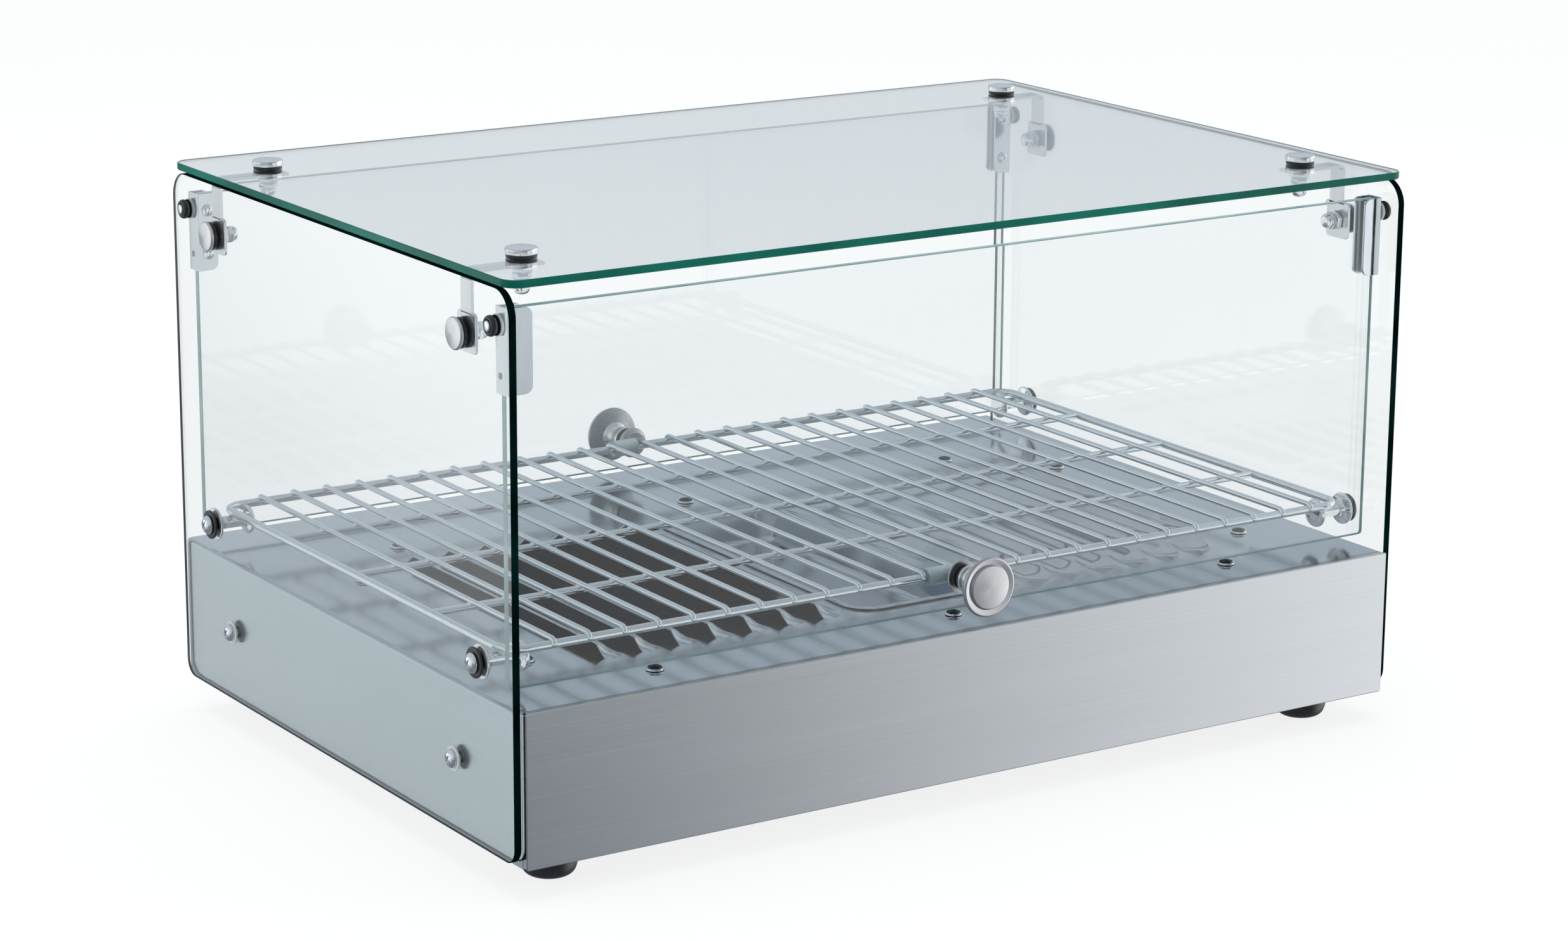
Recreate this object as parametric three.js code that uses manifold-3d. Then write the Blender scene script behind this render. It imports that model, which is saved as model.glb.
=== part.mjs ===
// Countertop heated display cabinet for bakery goods.
// A low stainless base carries two side glasses and a top glass, tied at the corners by
// straps and capped bolts. A top-hung glass flap closes the front and another the rear.
// A wire rack lies on four pegs above a louvred deck with a drop-in water pan.
// Millimetres, +X to the right seen from the front, +Y to the rear, +Z up.
// The origin is on the ground at the middle of the bounding box.

import * as THREE from 'three';
import { mergeVertices } from 'three/addons/utils/BufferGeometryUtils.js';
import Module from 'manifold-3d';

const wasm = await Module();
wasm.setup();

// ---------------------------------------------------------------- driving dimensions

const WIDTH = 554;             // over the outer faces of the side glasses
const GLASS_DEPTH = 372;       // front edge to rear edge of the side and top glasses
const GLASS = 4;               // toughened glass thickness
const SHEET = 1.2;             // stainless sheet thickness
const GAP = 0.3;               // gap kept between pieces that touch
const FOOT_HEIGHT = 16.5;
const BASE_HEIGHT = 80;
const GLASS_HEIGHT = 285;      // height of a side glass
const CASING_REAR = 186;       // rear edge of the folded casing
const FRONT_FACE = -189.5;     // outer face of the front panel
const PANEL_RETURN = 4;        // depth of the folded edges of the front and rear panels
const REAR_FACE = 182;         // outer face of the recessed rear panel

const BASE_BOTTOM = FOOT_HEIGHT;
const DECK = BASE_BOTTOM + BASE_HEIGHT;              // top of the deck
const SIDE_OUT = WIDTH / 2;                          // outer face of a side glass
const SIDE_IN = SIDE_OUT - GLASS;                    // inner face of a side glass
const SIDE_BOTTOM = BASE_BOTTOM + 2;
const SIDE_TOP = SIDE_BOTTOM + GLASS_HEIGHT;
const TOP_BOTTOM = SIDE_TOP + 1;                     // underside of the top glass
const TOP_TOP = TOP_BOTTOM + GLASS;
const WALL_OUT = SIDE_IN - 0.8;                      // outer face of the casing's side walls
const WALL_IN = WALL_OUT - SHEET;

const DOOR_HALF_WIDTH = 269;
const DOOR_Y = 170;                                  // mid-plane of a door, and its pivot
const DOOR_BOTTOM = DECK + 7.1;
const DOOR_TOP = TOP_BOTTOM - 11.9;
const PIVOT_Z = DOOR_TOP - 8;
const BOLT_X = 243;                                  // top bolts
const BOLT_Y = 138;                                  // top and side bolts
const SIDE_BOLT_Z = TOP_TOP - 33.4;
const STRAP_DROP = 1.8;                              // inner washer between the glass and a strap
const STRAP_THICK = 1.5;
const PEG_Y = 149;
const PEG_Z = DECK + 16.5;
const PEG_CORE_R = 3.5;
const BASE_SCREW_Y = 126;
const BASE_SCREW_Z = BASE_BOTTOM + 41;
const FOOT_X = 241.5;
const FOOT_Y = 157;

const FRAME_WIRE_R = 2.25;
const LONG_WIRE_R = 2;
const CROSS_WIRE_R = 1.5;
const RACK_HALF_X = 263;                             // to the middle of the side wires
const RACK_HALF_Y = 158;
const RACK_Z = PEG_Z + PEG_CORE_R + GAP + FRAME_WIRE_R;
const RACK_CORNER_R = 11;
const CROSS_COUNT = 25;
const CROSS_PITCH = 20;
const LONG_PITCH = 82;

const DECK_CENTRE_Y = -27;                           // middle of the louvres and of the pan
const LOUVRE_COUNT = 7;
const LOUVRE_FIRST = 62;                             // mouth of the innermost louvre
const LOUVRE_PITCH = 22;
const LOUVRE_HALF_LENGTH = 105;
const PAN_HALF_X = 41.5;
const PAN_HALF_Y = 105;
const DECK_SCREW_X = 182;
const DECK_SCREW_SIDE_X = 229;
const DECK_SCREW_Y = 133.5;
const DECK_SCREW_SIDE_Y = 85;

const TRAY_HALF_X = 222;
const TRAY_HALF_Y = 126.5;
const TRAY_FLANGE = 14;
const TRAY_FLOOR = BASE_BOTTOM + 18;
const ELEMENT_Z = BASE_BOTTOM + 38;
const ELEMENT_R = 3.2;
const ELEMENT_INNER_X = 85;
const ELEMENT_OUTER_X = 170;
const ELEMENT_FRONT_Y = -140;
const ELEMENT_END_Y = 118;

const CONTROL_Z = BASE_BOTTOM + 40;
const SWITCH_X = 110;
const LAMP_X = 62;
const THERMOSTAT_X = -60;
const GLAND_X = -215;

// ---------------------------------------------------------------- materials

const finish = (color, roughness, metalness, extra = {}) =>
  new THREE.MeshStandardMaterial({ color, roughness, metalness, ...extra });

const glassFinish = finish(0xdfeaea, 0.05, 0, { transparent: true, opacity: 0.35 });
const brushed = finish(0xb9bcc2, 0.38, 1);
const polished = finish(0xc9ced2, 0.16, 1);
const chrome = finish(0xdfe2e5, 0.08, 1);
const zinc = finish(0xa8acb0, 0.35, 1);
const rubber = finish(0x151517, 0.6, 0);
const blackPlastic = finish(0x1b1b1d, 0.4, 0);
const clearPlastic = finish(0xe3e8e8, 0.3, 0, { transparent: true, opacity: 0.6 });
const ceramic = finish(0xe6e0d2, 0.55, 0);
const amber = finish(0xd8700f, 0.25, 0);
const wireJacket = finish(0xd9d9d4, 0.5, 0);

// ---------------------------------------------------------------- solids

/** Turns a closed three.js geometry into a solid that can be cut and joined. */
function solid(geometry) {
  const bare = geometry.index ? geometry : geometry.clone();
  bare.deleteAttribute('normal');
  bare.deleteAttribute('uv');
  const welded = mergeVertices(bare, 1e-4);
  const index = welded.index.array;
  const triangles = [];
  for (let i = 0; i < index.length; i += 3) {
    const [a, b, c] = [index[i], index[i + 1], index[i + 2]];
    if (a !== b && b !== c && c !== a) triangles.push(a, b, c);
  }
  return new wasm.Manifold(new wasm.Mesh({
    numProp: 3,
    vertProperties: new Float32Array(welded.attributes.position.array),
    triVerts: new Uint32Array(triangles),
  }));
}

/** Turns a solid back into a three.js geometry. */
function geometryOf(body) {
  const mesh = body.getMesh();
  const geometry = new THREE.BufferGeometry();
  geometry.setAttribute('position', new THREE.BufferAttribute(new Float32Array(mesh.vertProperties), 3));
  geometry.setIndex(new THREE.BufferAttribute(new Uint32Array(mesh.triVerts), 1));
  geometry.computeVertexNormals();
  return geometry;
}

const join = (bodies) => bodies.reduce((whole, body) => whole.add(body));
const cut = (body, tools) => tools.reduce((whole, tool) => whole.subtract(tool), body);

/** A box between two corners. */
function block(x0, x1, y0, y1, z0, z1) {
  const geometry = new THREE.BoxGeometry(x1 - x0, y1 - y0, z1 - z0);
  geometry.translate((x0 + x1) / 2, (y0 + y1) / 2, (z0 + z1) / 2);
  return solid(geometry);
}

/** A straight round bar between two points. */
function bar(from, to, radius, sides = 12) {
  const start = new THREE.Vector3(...from);
  const along = new THREE.Vector3(...to).sub(start);
  const geometry = new THREE.CylinderGeometry(radius, radius, along.length(), sides);
  geometry.translate(0, along.length() / 2, 0);
  geometry.applyQuaternion(new THREE.Quaternion().setFromUnitVectors(
    new THREE.Vector3(0, 1, 0), along.clone().normalize()));
  geometry.translate(start.x, start.y, start.z);
  return solid(geometry);
}

/** A turned piece. The profile lists [radius, distance along the direction]. */
function turned(profile, at, direction, sides = 16) {
  const points = profile.map(([r, h]) => new THREE.Vector2(r, h));
  const geometry = new THREE.LatheGeometry(points, sides);
  geometry.applyQuaternion(new THREE.Quaternion().setFromUnitVectors(
    new THREE.Vector3(0, 1, 0), new THREE.Vector3(...direction)));
  geometry.translate(...at);
  return solid(geometry);
}

/** An outline in the XY plane, raised from z0 to z1. */
function raised(shape, z0, z1, curveSegments = 5) {
  const geometry = new THREE.ExtrudeGeometry(shape, { depth: z1 - z0, bevelEnabled: false, curveSegments });
  geometry.translate(0, 0, z0);
  return solid(geometry);
}

/** An outline drawn in (x, z), drawn out from y0 to y1. */
function drawnAlongY(shape, y0, y1, curveSegments = 5) {
  const geometry = new THREE.ExtrudeGeometry(shape, { depth: y1 - y0, bevelEnabled: false, curveSegments });
  geometry.rotateX(Math.PI / 2);
  geometry.translate(0, y1, 0);
  return solid(geometry);
}

/** An outline drawn in (y, z), drawn out from x0 to x1. */
function drawnAlongX(shape, x0, x1, curveSegments = 5) {
  const geometry = new THREE.ExtrudeGeometry(shape, { depth: x1 - x0, bevelEnabled: false, curveSegments });
  geometry.applyMatrix4(new THREE.Matrix4().makeBasis(
    new THREE.Vector3(0, 1, 0), new THREE.Vector3(0, 0, 1), new THREE.Vector3(1, 0, 0)));
  geometry.translate(x0, 0, 0);
  return solid(geometry);
}

/** A round tube swept along an open curve. */
function swept(curve, radius, steps, sides = 8) {
  const section = new THREE.Shape(circlePoints(radius, sides));
  return solid(new THREE.ExtrudeGeometry(section, { steps, extrudePath: curve, bevelEnabled: false }));
}

/** A round tube along a path of [x, y] points at one height, mitred at each point. */
function flatTube(path, z, radius, sides, closed = false) {
  const points = path.map(([x, y]) => new THREE.Vector2(x, y));
  const count = points.length;
  const heading = (i) => points[(i + 1) % count].clone().sub(points[(i + count) % count]).normalize();
  const rings = points.map((point, i) => {
    const before = closed || i > 0 ? heading(i - 1 + (i === 0 ? count : 0)) : heading(i);
    const after = closed || i < count - 1 ? heading(i) : before;
    const along = before.clone().add(after).normalize();
    const widen = 1 / along.dot(after);
    return circlePoints(radius, sides).map((c) => new THREE.Vector3(
      point.x - along.y * c.x * widen, point.y + along.x * c.x * widen, z + c.y));
  });
  return lofted(rings, closed);
}

function circlePoints(radius, sides) {
  return Array.from({ length: sides }, (_, i) => {
    const turn = (2 * Math.PI * i) / sides;
    return new THREE.Vector2(radius * Math.cos(turn), radius * Math.sin(turn));
  });
}

/** A skin through rings of equal point count, its ends joined in a loop or closed by fans. */
function lofted(rings, loop = false) {
  const count = rings[0].length;
  const positions = rings.flat().flatMap((p) => [p.x, p.y, p.z]);
  const index = [];
  for (let k = 0; k < rings.length - (loop ? 0 : 1); k += 1) {
    const next = ((k + 1) % rings.length) * count;
    for (let i = 0; i < count; i += 1) {
      const j = (i + 1) % count;
      index.push(k * count + i, k * count + j, next + j, k * count + i, next + j, next + i);
    }
  }
  const last = (rings.length - 1) * count;
  for (let i = 1; i < count - 1 && !loop; i += 1) {
    index.push(0, i + 1, i);
    index.push(last, last + i, last + i + 1);
  }
  const geometry = new THREE.BufferGeometry();
  geometry.setAttribute('position', new THREE.Float32BufferAttribute(positions, 3));
  geometry.setIndex(index);
  return solid(geometry);
}

/** A rectangle with round corners; radii run from the low-low corner, anticlockwise. */
function roundedRectangle(x0, x1, y0, y1, radii) {
  const [a, b, c, d] = Array.isArray(radii) ? radii : [radii, radii, radii, radii];
  const shape = new THREE.Shape();
  shape.moveTo(x0 + a, y0);
  shape.lineTo(x1 - b, y0);
  shape.absarc(x1 - b, y0 + b, b, -Math.PI / 2, 0, false);
  shape.lineTo(x1, y1 - c);
  shape.absarc(x1 - c, y1 - c, c, 0, Math.PI / 2, false);
  shape.lineTo(x0 + d, y1);
  shape.absarc(x0 + d, y1 - d, d, Math.PI / 2, Math.PI, false);
  shape.lineTo(x0, y0 + a);
  shape.absarc(x0 + a, y0 + a, a, Math.PI, 1.5 * Math.PI, false);
  return shape;
}

/** A shape through plain points. */
const outline = (points) => new THREE.Shape(points.map(([x, y]) => new THREE.Vector2(x, y)));

// ---------------------------------------------------------------- assembly

const cabinet = new THREE.Group();

/** Adds a finished piece to the cabinet under its own name. */
function add(name, body, material) {
  const mesh = new THREE.Mesh(geometryOf(body), material);
  mesh.name = name;
  cabinet.add(mesh);
}

const SIDES = [['left', -1], ['right', 1]];
const ENDS = [['front', -1], ['rear', 1]];

/** Calls make(name, sx, sy) for the four corners. */
function atCorners(make) {
  for (const [end, sy] of ENDS) {
    for (const [side, sx] of SIDES) make(`${end}_${side}`, sx, sy);
  }
}

// ---------------------------------------------------------------- base

/** A louvre hood. Its mouth is at x = 0 and faces -X; it closes on the deck at +X. */
function hood(x, y) {
  const outside = [[0, -0.6], [15.5, -0.6], [9.5, 4.3], [4, 6.3], [0, 6.5]];
  const inside = [[-1, -3], [14, -3], [8.7, 3.2], [3.8, 5.1], [-1, 5.3]];
  const shell = (profile, half, taper) => lofted(
    [[-half, 0.04], [-half + taper, 1], [half - taper, 1], [half, 0.04]].map(([along, tall]) =>
      profile.map(([px, pz]) => new THREE.Vector3(
        x + px, y - along, DECK + (pz > 0 ? pz * tall : pz)))));
  return shell(outside, LOUVRE_HALF_LENGTH, 8).subtract(shell(inside, LOUVRE_HALF_LENGTH - 1.5, 8));
}

/** Turns a solid half a turn about the vertical through the middle of the deck pattern. */
const acrossDeck = (body) => body.translate([0, -DECK_CENTRE_Y, 0])
  .rotate([0, 0, 180])
  .translate([0, DECK_CENTRE_Y, 0]);

/** Centres of the screws that hold the heater tray under the deck. */
function deckScrews() {
  const spots = [];
  for (const sy of [-1, 1]) {
    for (const x of [-DECK_SCREW_X, 0, DECK_SCREW_X]) spots.push([x, DECK_CENTRE_Y + sy * DECK_SCREW_Y]);
    for (const sx of [-1, 1]) {
      spots.push([sx * DECK_SCREW_SIDE_X, DECK_CENTRE_Y + sy * DECK_SCREW_SIDE_Y]);
    }
  }
  return spots;
}

/** Deck and side walls folded from one sheet, with louvres, pan cut-out and screw holes. */
function baseCasing() {
  const bend = 2.4;
  const skin = roundedRectangle(-WALL_OUT, WALL_OUT, BASE_BOTTOM - 10, DECK, [0.1, 0.1, bend, bend]);
  const hollow = roundedRectangle(-WALL_IN, WALL_IN, BASE_BOTTOM - 12, DECK - SHEET,
    [0.1, 0.1, bend - SHEET, bend - SHEET]);
  const front = FRONT_FACE + PANEL_RETURN + GAP;
  const folded = drawnAlongY(skin, front, CASING_REAR, 3)
    .subtract(drawnAlongY(hollow, front - 1, CASING_REAR + 1, 3))
    .intersect(block(-SIDE_OUT, SIDE_OUT, front - 1, CASING_REAR + 1, BASE_BOTTOM, DECK));

  const slots = [];
  const hoods = [];
  for (let i = 0; i < LOUVRE_COUNT; i += 1) {
    const x = -(LOUVRE_FIRST + i * LOUVRE_PITCH);
    const reach = LOUVRE_HALF_LENGTH - 3;
    const slot = block(x + 0.4, x + 12.8, DECK_CENTRE_Y - reach, DECK_CENTRE_Y + reach,
      DECK - 2 * SHEET, DECK + 1);
    const left = hood(x, DECK_CENTRE_Y);
    slots.push(slot, acrossDeck(slot));
    hoods.push(left, acrossDeck(left));
  }
  const panHole = raised(roundedRectangle(
    -PAN_HALF_X + 3, PAN_HALF_X - 3,
    DECK_CENTRE_Y - PAN_HALF_Y + 3, DECK_CENTRE_Y + PAN_HALF_Y - 3, 14), DECK - 5, DECK + 5, 3);
  const screwHoles = deckScrews().map(([x, y]) => bar([x, y, DECK - 5], [x, y, DECK + 5], 2.7, 8));
  const sideHoles = [-1, 1].map((sy) => bar(
    [-SIDE_OUT, sy * BASE_SCREW_Y, BASE_SCREW_Z], [SIDE_OUT, sy * BASE_SCREW_Y, BASE_SCREW_Z], 3, 8));
  return join([cut(folded, [...slots, panHole, ...screwHoles, ...sideHoles]), ...hoods]);
}

/** A shallow folded tray standing on edge, open to the rear or to the front. */
function panelTray(halfWidth, z0, z1, faceY, towards) {
  const depth = towards * PANEL_RETURN;
  const ys = [faceY, faceY + depth].sort((a, b) => a - b);
  const inner = [faceY + towards * SHEET, faceY + depth + towards].sort((a, b) => a - b);
  return block(-halfWidth, halfWidth, ...ys, z0, z1).subtract(
    block(-halfWidth + SHEET, halfWidth - SHEET, ...inner, z0 + SHEET, z1 - SHEET));
}

function rearPanel() {
  const tray = panelTray(WALL_IN - 0.5, BASE_BOTTOM + SHEET + 0.4, DECK - SHEET - 0.4, REAR_FACE, -1);
  const reach = [REAR_FACE - 6, REAR_FACE + 1];
  const holes = [
    block(SWITCH_X - 14.4, SWITCH_X + 14.4, ...reach, CONTROL_Z - 10.4, CONTROL_Z + 10.4),
    bar([LAMP_X, reach[0], CONTROL_Z], [LAMP_X, reach[1], CONTROL_Z], 5.5),
    bar([THERMOSTAT_X, reach[0], CONTROL_Z], [THERMOSTAT_X, reach[1], CONTROL_Z], 5.8),
    bar([GLAND_X, reach[0], CONTROL_Z], [GLAND_X, reach[1], CONTROL_Z], 8.4),
  ];
  return cut(tray, holes);
}

/** Rows of vent slots as cutting blocks, in two groups. */
function ventSlots(z0, z1) {
  const slots = [];
  for (const sx of [-1, 1]) {
    for (let column = 0; column < 2; column += 1) {
      for (let row = 0; row < 6; row += 1) {
        const x = sx * (98 + column * 66);
        const y = DECK_CENTRE_Y + (row - 2.5) * 34;
        slots.push(block(x - 20, x + 20, y - 2.5, y + 2.5, z0, z1));
      }
    }
  }
  return slots;
}

function bottomPlate() {
  const front = FRONT_FACE + PANEL_RETURN + 2 * GAP;
  const plate = block(-WALL_IN + 0.4, WALL_IN - 0.4, front, REAR_FACE, BASE_BOTTOM, BASE_BOTTOM + SHEET);
  const holes = [...ventSlots(BASE_BOTTOM - 1, BASE_BOTTOM + 3)];
  atCorners((_, sx, sy) => holes.push(
    bar([sx * FOOT_X, sy * FOOT_Y, BASE_BOTTOM - 1], [sx * FOOT_X, sy * FOOT_Y, BASE_BOTTOM + 3], 3, 8)));
  return cut(plate, holes);
}

/** Cutting blocks for the four open windows in the tray floor, two on each side of a cross bar. */
function trayWindows() {
  const rim = 15;
  const barHalf = 16;
  const barY = DECK_CENTRE_Y + 26;
  const spans = [
    [DECK_CENTRE_Y - TRAY_HALF_Y + rim, barY - barHalf],
    [barY + barHalf, DECK_CENTRE_Y + TRAY_HALF_Y - rim]];
  return [-1, 1].flatMap((sx) => spans.map(([y0, y1]) => {
    const xs = [sx * rim, sx * (TRAY_HALF_X - rim)].sort((a, b) => a - b);
    return block(...xs, y0, y1, TRAY_FLOOR - 1, TRAY_FLOOR + SHEET + 1);
  }));
}

/** Open-floored tray that holds the heating elements, hung from the deck by domed screws. */
function heaterTray() {
  const y0 = DECK_CENTRE_Y - TRAY_HALF_Y;
  const y1 = DECK_CENTRE_Y + TRAY_HALF_Y;
  const rim = DECK - SHEET - GAP;
  const inner = TRAY_HALF_X - SHEET;
  const body = block(-TRAY_HALF_X, TRAY_HALF_X, y0, y1, TRAY_FLOOR, rim);
  const flange = block(-TRAY_HALF_X - TRAY_FLANGE, TRAY_HALF_X + TRAY_FLANGE,
    y0 - TRAY_FLANGE, y1 + TRAY_FLANGE, rim - SHEET, rim);
  const hollow = block(-inner, inner, y0 + SHEET, y1 - SHEET, TRAY_FLOOR + SHEET, rim + 1);
  const leads = [];
  for (const sx of [-1, 1]) {
    for (const x of [ELEMENT_INNER_X, ELEMENT_OUTER_X]) {
      leads.push(bar([sx * x, y1 - 3, ELEMENT_Z], [sx * x, y1 + 3, ELEMENT_Z], ELEMENT_R + 1.2, 8));
    }
  }
  const dome = [[0, -8], [2, -8], [2, GAP], [4.2, GAP], [3.4, 2.1], [0, 2.8]];
  const screws = deckScrews().map(([x, y]) => turned(dome, [x, y, DECK], [0, 0, 1], 6));
  return join([cut(body.add(flange), [hollow, ...leads, ...trayWindows()]), ...screws]);
}

/** U-shaped sheathed heating element, its two ends through the rear wall of the tray. */
function heatingElement(sx) {
  const turn = (ELEMENT_OUTER_X - ELEMENT_INNER_X) / 2;
  const steps = 8;
  const path = [[ELEMENT_INNER_X, ELEMENT_END_Y]];
  for (let i = 0; i <= steps; i += 1) {
    const angle = Math.PI * (1 + i / steps);
    path.push([ELEMENT_INNER_X + turn * (1 + Math.cos(angle)),
      ELEMENT_FRONT_Y + turn * (1 + Math.sin(angle))]);
  }
  path.push([ELEMENT_OUTER_X, ELEMENT_END_Y]);
  const drawn = sx > 0 ? path : path.map(([x, y]) => [-x, y]).reverse();
  return flatTube(drawn, ELEMENT_Z, ELEMENT_R, 8);
}

/** Strip that stands on the tray's cross bar and carries both runs of an element. */
function elementBracket(sx) {
  const low = TRAY_FLOOR + SHEET + GAP;
  const high = ELEMENT_Z - ELEMENT_R - GAP;
  const x0 = ELEMENT_INNER_X - 4;
  const x1 = ELEMENT_OUTER_X + 4;
  const points = [[x0, low], [x1, low], [x1, high], [x1 - 8, high], [x1 - 8, low + SHEET],
    [x0 + 8, low + SHEET], [x0 + 8, high], [x0, high]];
  const drawn = sx > 0 ? points : points.map(([x, z]) => [-x, z]).reverse();
  return drawnAlongY(outline(drawn), DECK_CENTRE_Y + 20, DECK_CENTRE_Y + 32);
}

function foot(sx, sy) {
  const nut = FOOT_HEIGHT + SHEET + GAP;
  const profile = [[0, 0], [10, 0], [13, 2.2], [14.4, 6.5], [14.4, 11.5], [13, FOOT_HEIGHT - GAP],
    [2.4, FOOT_HEIGHT - GAP], [2.4, nut], [4.6, nut], [4.6, nut + 3.5], [0, nut + 3.5]];
  return turned(profile, [sx * FOOT_X, sy * FOOT_Y, 0], [0, 0, 1], 12);
}

/** Drop-in water pan with a rounded rim. */
function waterPan() {
  const ring = (halfX, halfY, radius, z) => roundedRectangle(
    -halfX, halfX, DECK_CENTRE_Y - halfY, DECK_CENTRE_Y + halfY, radius)
    .getPoints(3).slice(0, -1).map((p) => new THREE.Vector3(p.x, p.y, z));
  const rimLow = DECK + GAP;
  const floor = DECK - 20;
  const body = lofted([
    ring(PAN_HALF_X - 6, PAN_HALF_Y - 6, 11, floor),
    ring(PAN_HALF_X - 3.8, PAN_HALF_Y - 3.8, 13.2, rimLow + 0.4),
  ]);
  const rim = lofted([
    ring(PAN_HALF_X, PAN_HALF_Y, 16, rimLow),
    ring(PAN_HALF_X - 0.3, PAN_HALF_Y - 0.3, 16, rimLow + SHEET),
  ]);
  const hollow = lofted([
    ring(PAN_HALF_X - 7.2, PAN_HALF_Y - 7.2, 10, floor + SHEET),
    ring(PAN_HALF_X - 4.6, PAN_HALF_Y - 4.6, 12.6, rimLow + 3),
  ]);
  return body.add(rim).subtract(hollow);
}

// ---------------------------------------------------------------- glass housing

function sideGlass(sx) {
  const half = GLASS_DEPTH / 2;
  const pane = roundedRectangle(-half, half, SIDE_BOTTOM, SIDE_TOP, [9, 9, 14, 14]);
  const holes = [];
  for (const sy of [-1, 1]) {
    const spots = [[DOOR_Y, PIVOT_Z, 4.9], [BOLT_Y, SIDE_BOLT_Z, 4], [PEG_Y, PEG_Z, 3.3],
      [BASE_SCREW_Y, BASE_SCREW_Z, 3.3]];
    for (const [y, z, r] of spots) {
      holes.push(bar([sx * (SIDE_IN - 1), sy * y, z], [sx * (SIDE_OUT + 1), sy * y, z], r, 8));
    }
  }
  const faces = [sx * SIDE_IN, sx * SIDE_OUT].sort((a, b) => a - b);
  return cut(drawnAlongX(pane, ...faces, 4), holes);
}

function topGlass() {
  const pane = roundedRectangle(-SIDE_OUT, SIDE_OUT, -GLASS_DEPTH / 2, GLASS_DEPTH / 2, 9);
  const holes = [];
  atCorners((_, sx, sy) => holes.push(
    bar([sx * BOLT_X, sy * BOLT_Y, TOP_BOTTOM - 1], [sx * BOLT_X, sy * BOLT_Y, TOP_TOP + 1], 4, 8)));
  return cut(raised(pane, TOP_BOTTOM, TOP_TOP), holes);
}

/** L-shaped strap from under the top glass down to the side bolt. */
function cornerBracket(sx, sy) {
  const thick = STRAP_THICK;
  const outer = SIDE_IN - STRAP_DROP;
  const top = TOP_BOTTOM - STRAP_DROP;
  const half = 5.25;
  const turn = 2.5;
  const inner = BOLT_X - 10;
  const profile = [[inner, top - thick], [outer - thick - 1, top - thick],
    [outer - thick, top - thick - 1], [outer - thick, SIDE_BOLT_Z], [outer, SIDE_BOLT_Z],
    [outer, top - turn], [outer - turn * 0.3, top - turn * 0.3], [outer - turn, top], [inner, top]];
  const drawn = sx > 0 ? profile : profile.map(([x, z]) => [-x, z]).reverse();
  const strap = drawnAlongY(outline(drawn), sy * BOLT_Y - half, sy * BOLT_Y + half);
  const faces = [sx * (outer - thick), sx * outer].sort((a, b) => a - b);
  const plate = drawnAlongX(roundedRectangle(sy * BOLT_Y - 9, sy * BOLT_Y + 9,
    SIDE_BOLT_Z - 10, SIDE_BOLT_Z + 10, 2), ...faces, 2);
  const topHole = bar([sx * BOLT_X, sy * BOLT_Y, top - 5], [sx * BOLT_X, sy * BOLT_Y, top + 5], 3.2);
  const sideHole = bar([sx * (outer - 5), sy * BOLT_Y, SIDE_BOLT_Z],
    [sx * (outer + 5), sy * BOLT_Y, SIDE_BOLT_Z], 3.2);
  return cut(strap.add(plate), [topHole, sideHole]);
}

/** Cap, stud, washers and acorn nut of one glass bolt; 0 is the outer face of the glass. */
function glassBolt(capHeight, nutHeight, acornHeight, at, direction) {
  const crown = 1.6 + capHeight;
  const inner = -GLASS - GAP;
  const strapOuter = -GLASS - STRAP_DROP;
  const nutTop = strapOuter - STRAP_THICK - GAP;
  const nutLow = nutTop - nutHeight;
  const profile = [[0, nutLow - acornHeight], [4, nutLow - acornHeight + 2.2], [4.3, nutLow],
    [5.6, nutLow], [5.6, nutTop], [2.5, nutTop], [2.5, strapOuter + GAP], [7.8, strapOuter + GAP],
    [7.8, inner], [2.5, inner], [2.5, GAP], [8.2, GAP], [8.2, crown - 0.5], [7.6, crown], [0, crown + 0.2]];
  return turned(profile, at, direction, 8);
}

/** Peg that carries the rack: screw head outside, flanged core and end disc inside. */
function shelfPeg(sx, sy) {
  const profile = [[0, -25.6], [7.6, -25], [8, -22.8], [PEG_CORE_R, -22.8], [PEG_CORE_R, -5.6],
    [9, -5.6], [9, -GLASS - GAP], [2.6, -GLASS - GAP], [2.6, GAP], [8, GAP], [8, 1.3], [5.4, 1.3],
    [4.8, 4], [0, 4.9]];
  return turned(profile, [sx * SIDE_OUT, sy * PEG_Y, PEG_Z], [sx, 0, 0], 10);
}

/** Pan-head screw with washer and nut that clamps the side glass to the casing. */
function baseScrew(sx, sy) {
  const nut = WALL_IN - SIDE_OUT - GAP;
  const profile = [[0, nut - 6], [2.2, nut - 6], [2.2, nut - 4], [4.6, nut - 4], [4.6, nut],
    [2.2, nut], [2.2, GAP], [6.5, GAP], [6.5, 1.5], [5, 1.5], [4.4, 3.6], [0, 4.2]];
  return turned(profile, [sx * SIDE_OUT, sy * BASE_SCREW_Y, BASE_SCREW_Z], [sx, 0, 0], 8);
}

// ---------------------------------------------------------------- doors

function doorGlass(sy) {
  const pane = roundedRectangle(-DOOR_HALF_WIDTH, DOOR_HALF_WIDTH, DOOR_BOTTOM, DOOR_TOP, 2);
  const body = drawnAlongY(pane, sy * DOOR_Y - GLASS / 2, sy * DOOR_Y + GLASS / 2, 3);
  return body.subtract(bar([0, sy * DOOR_Y - GLASS, RACK_Z], [0, sy * DOOR_Y + GLASS, RACK_Z], 3.7));
}

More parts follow.
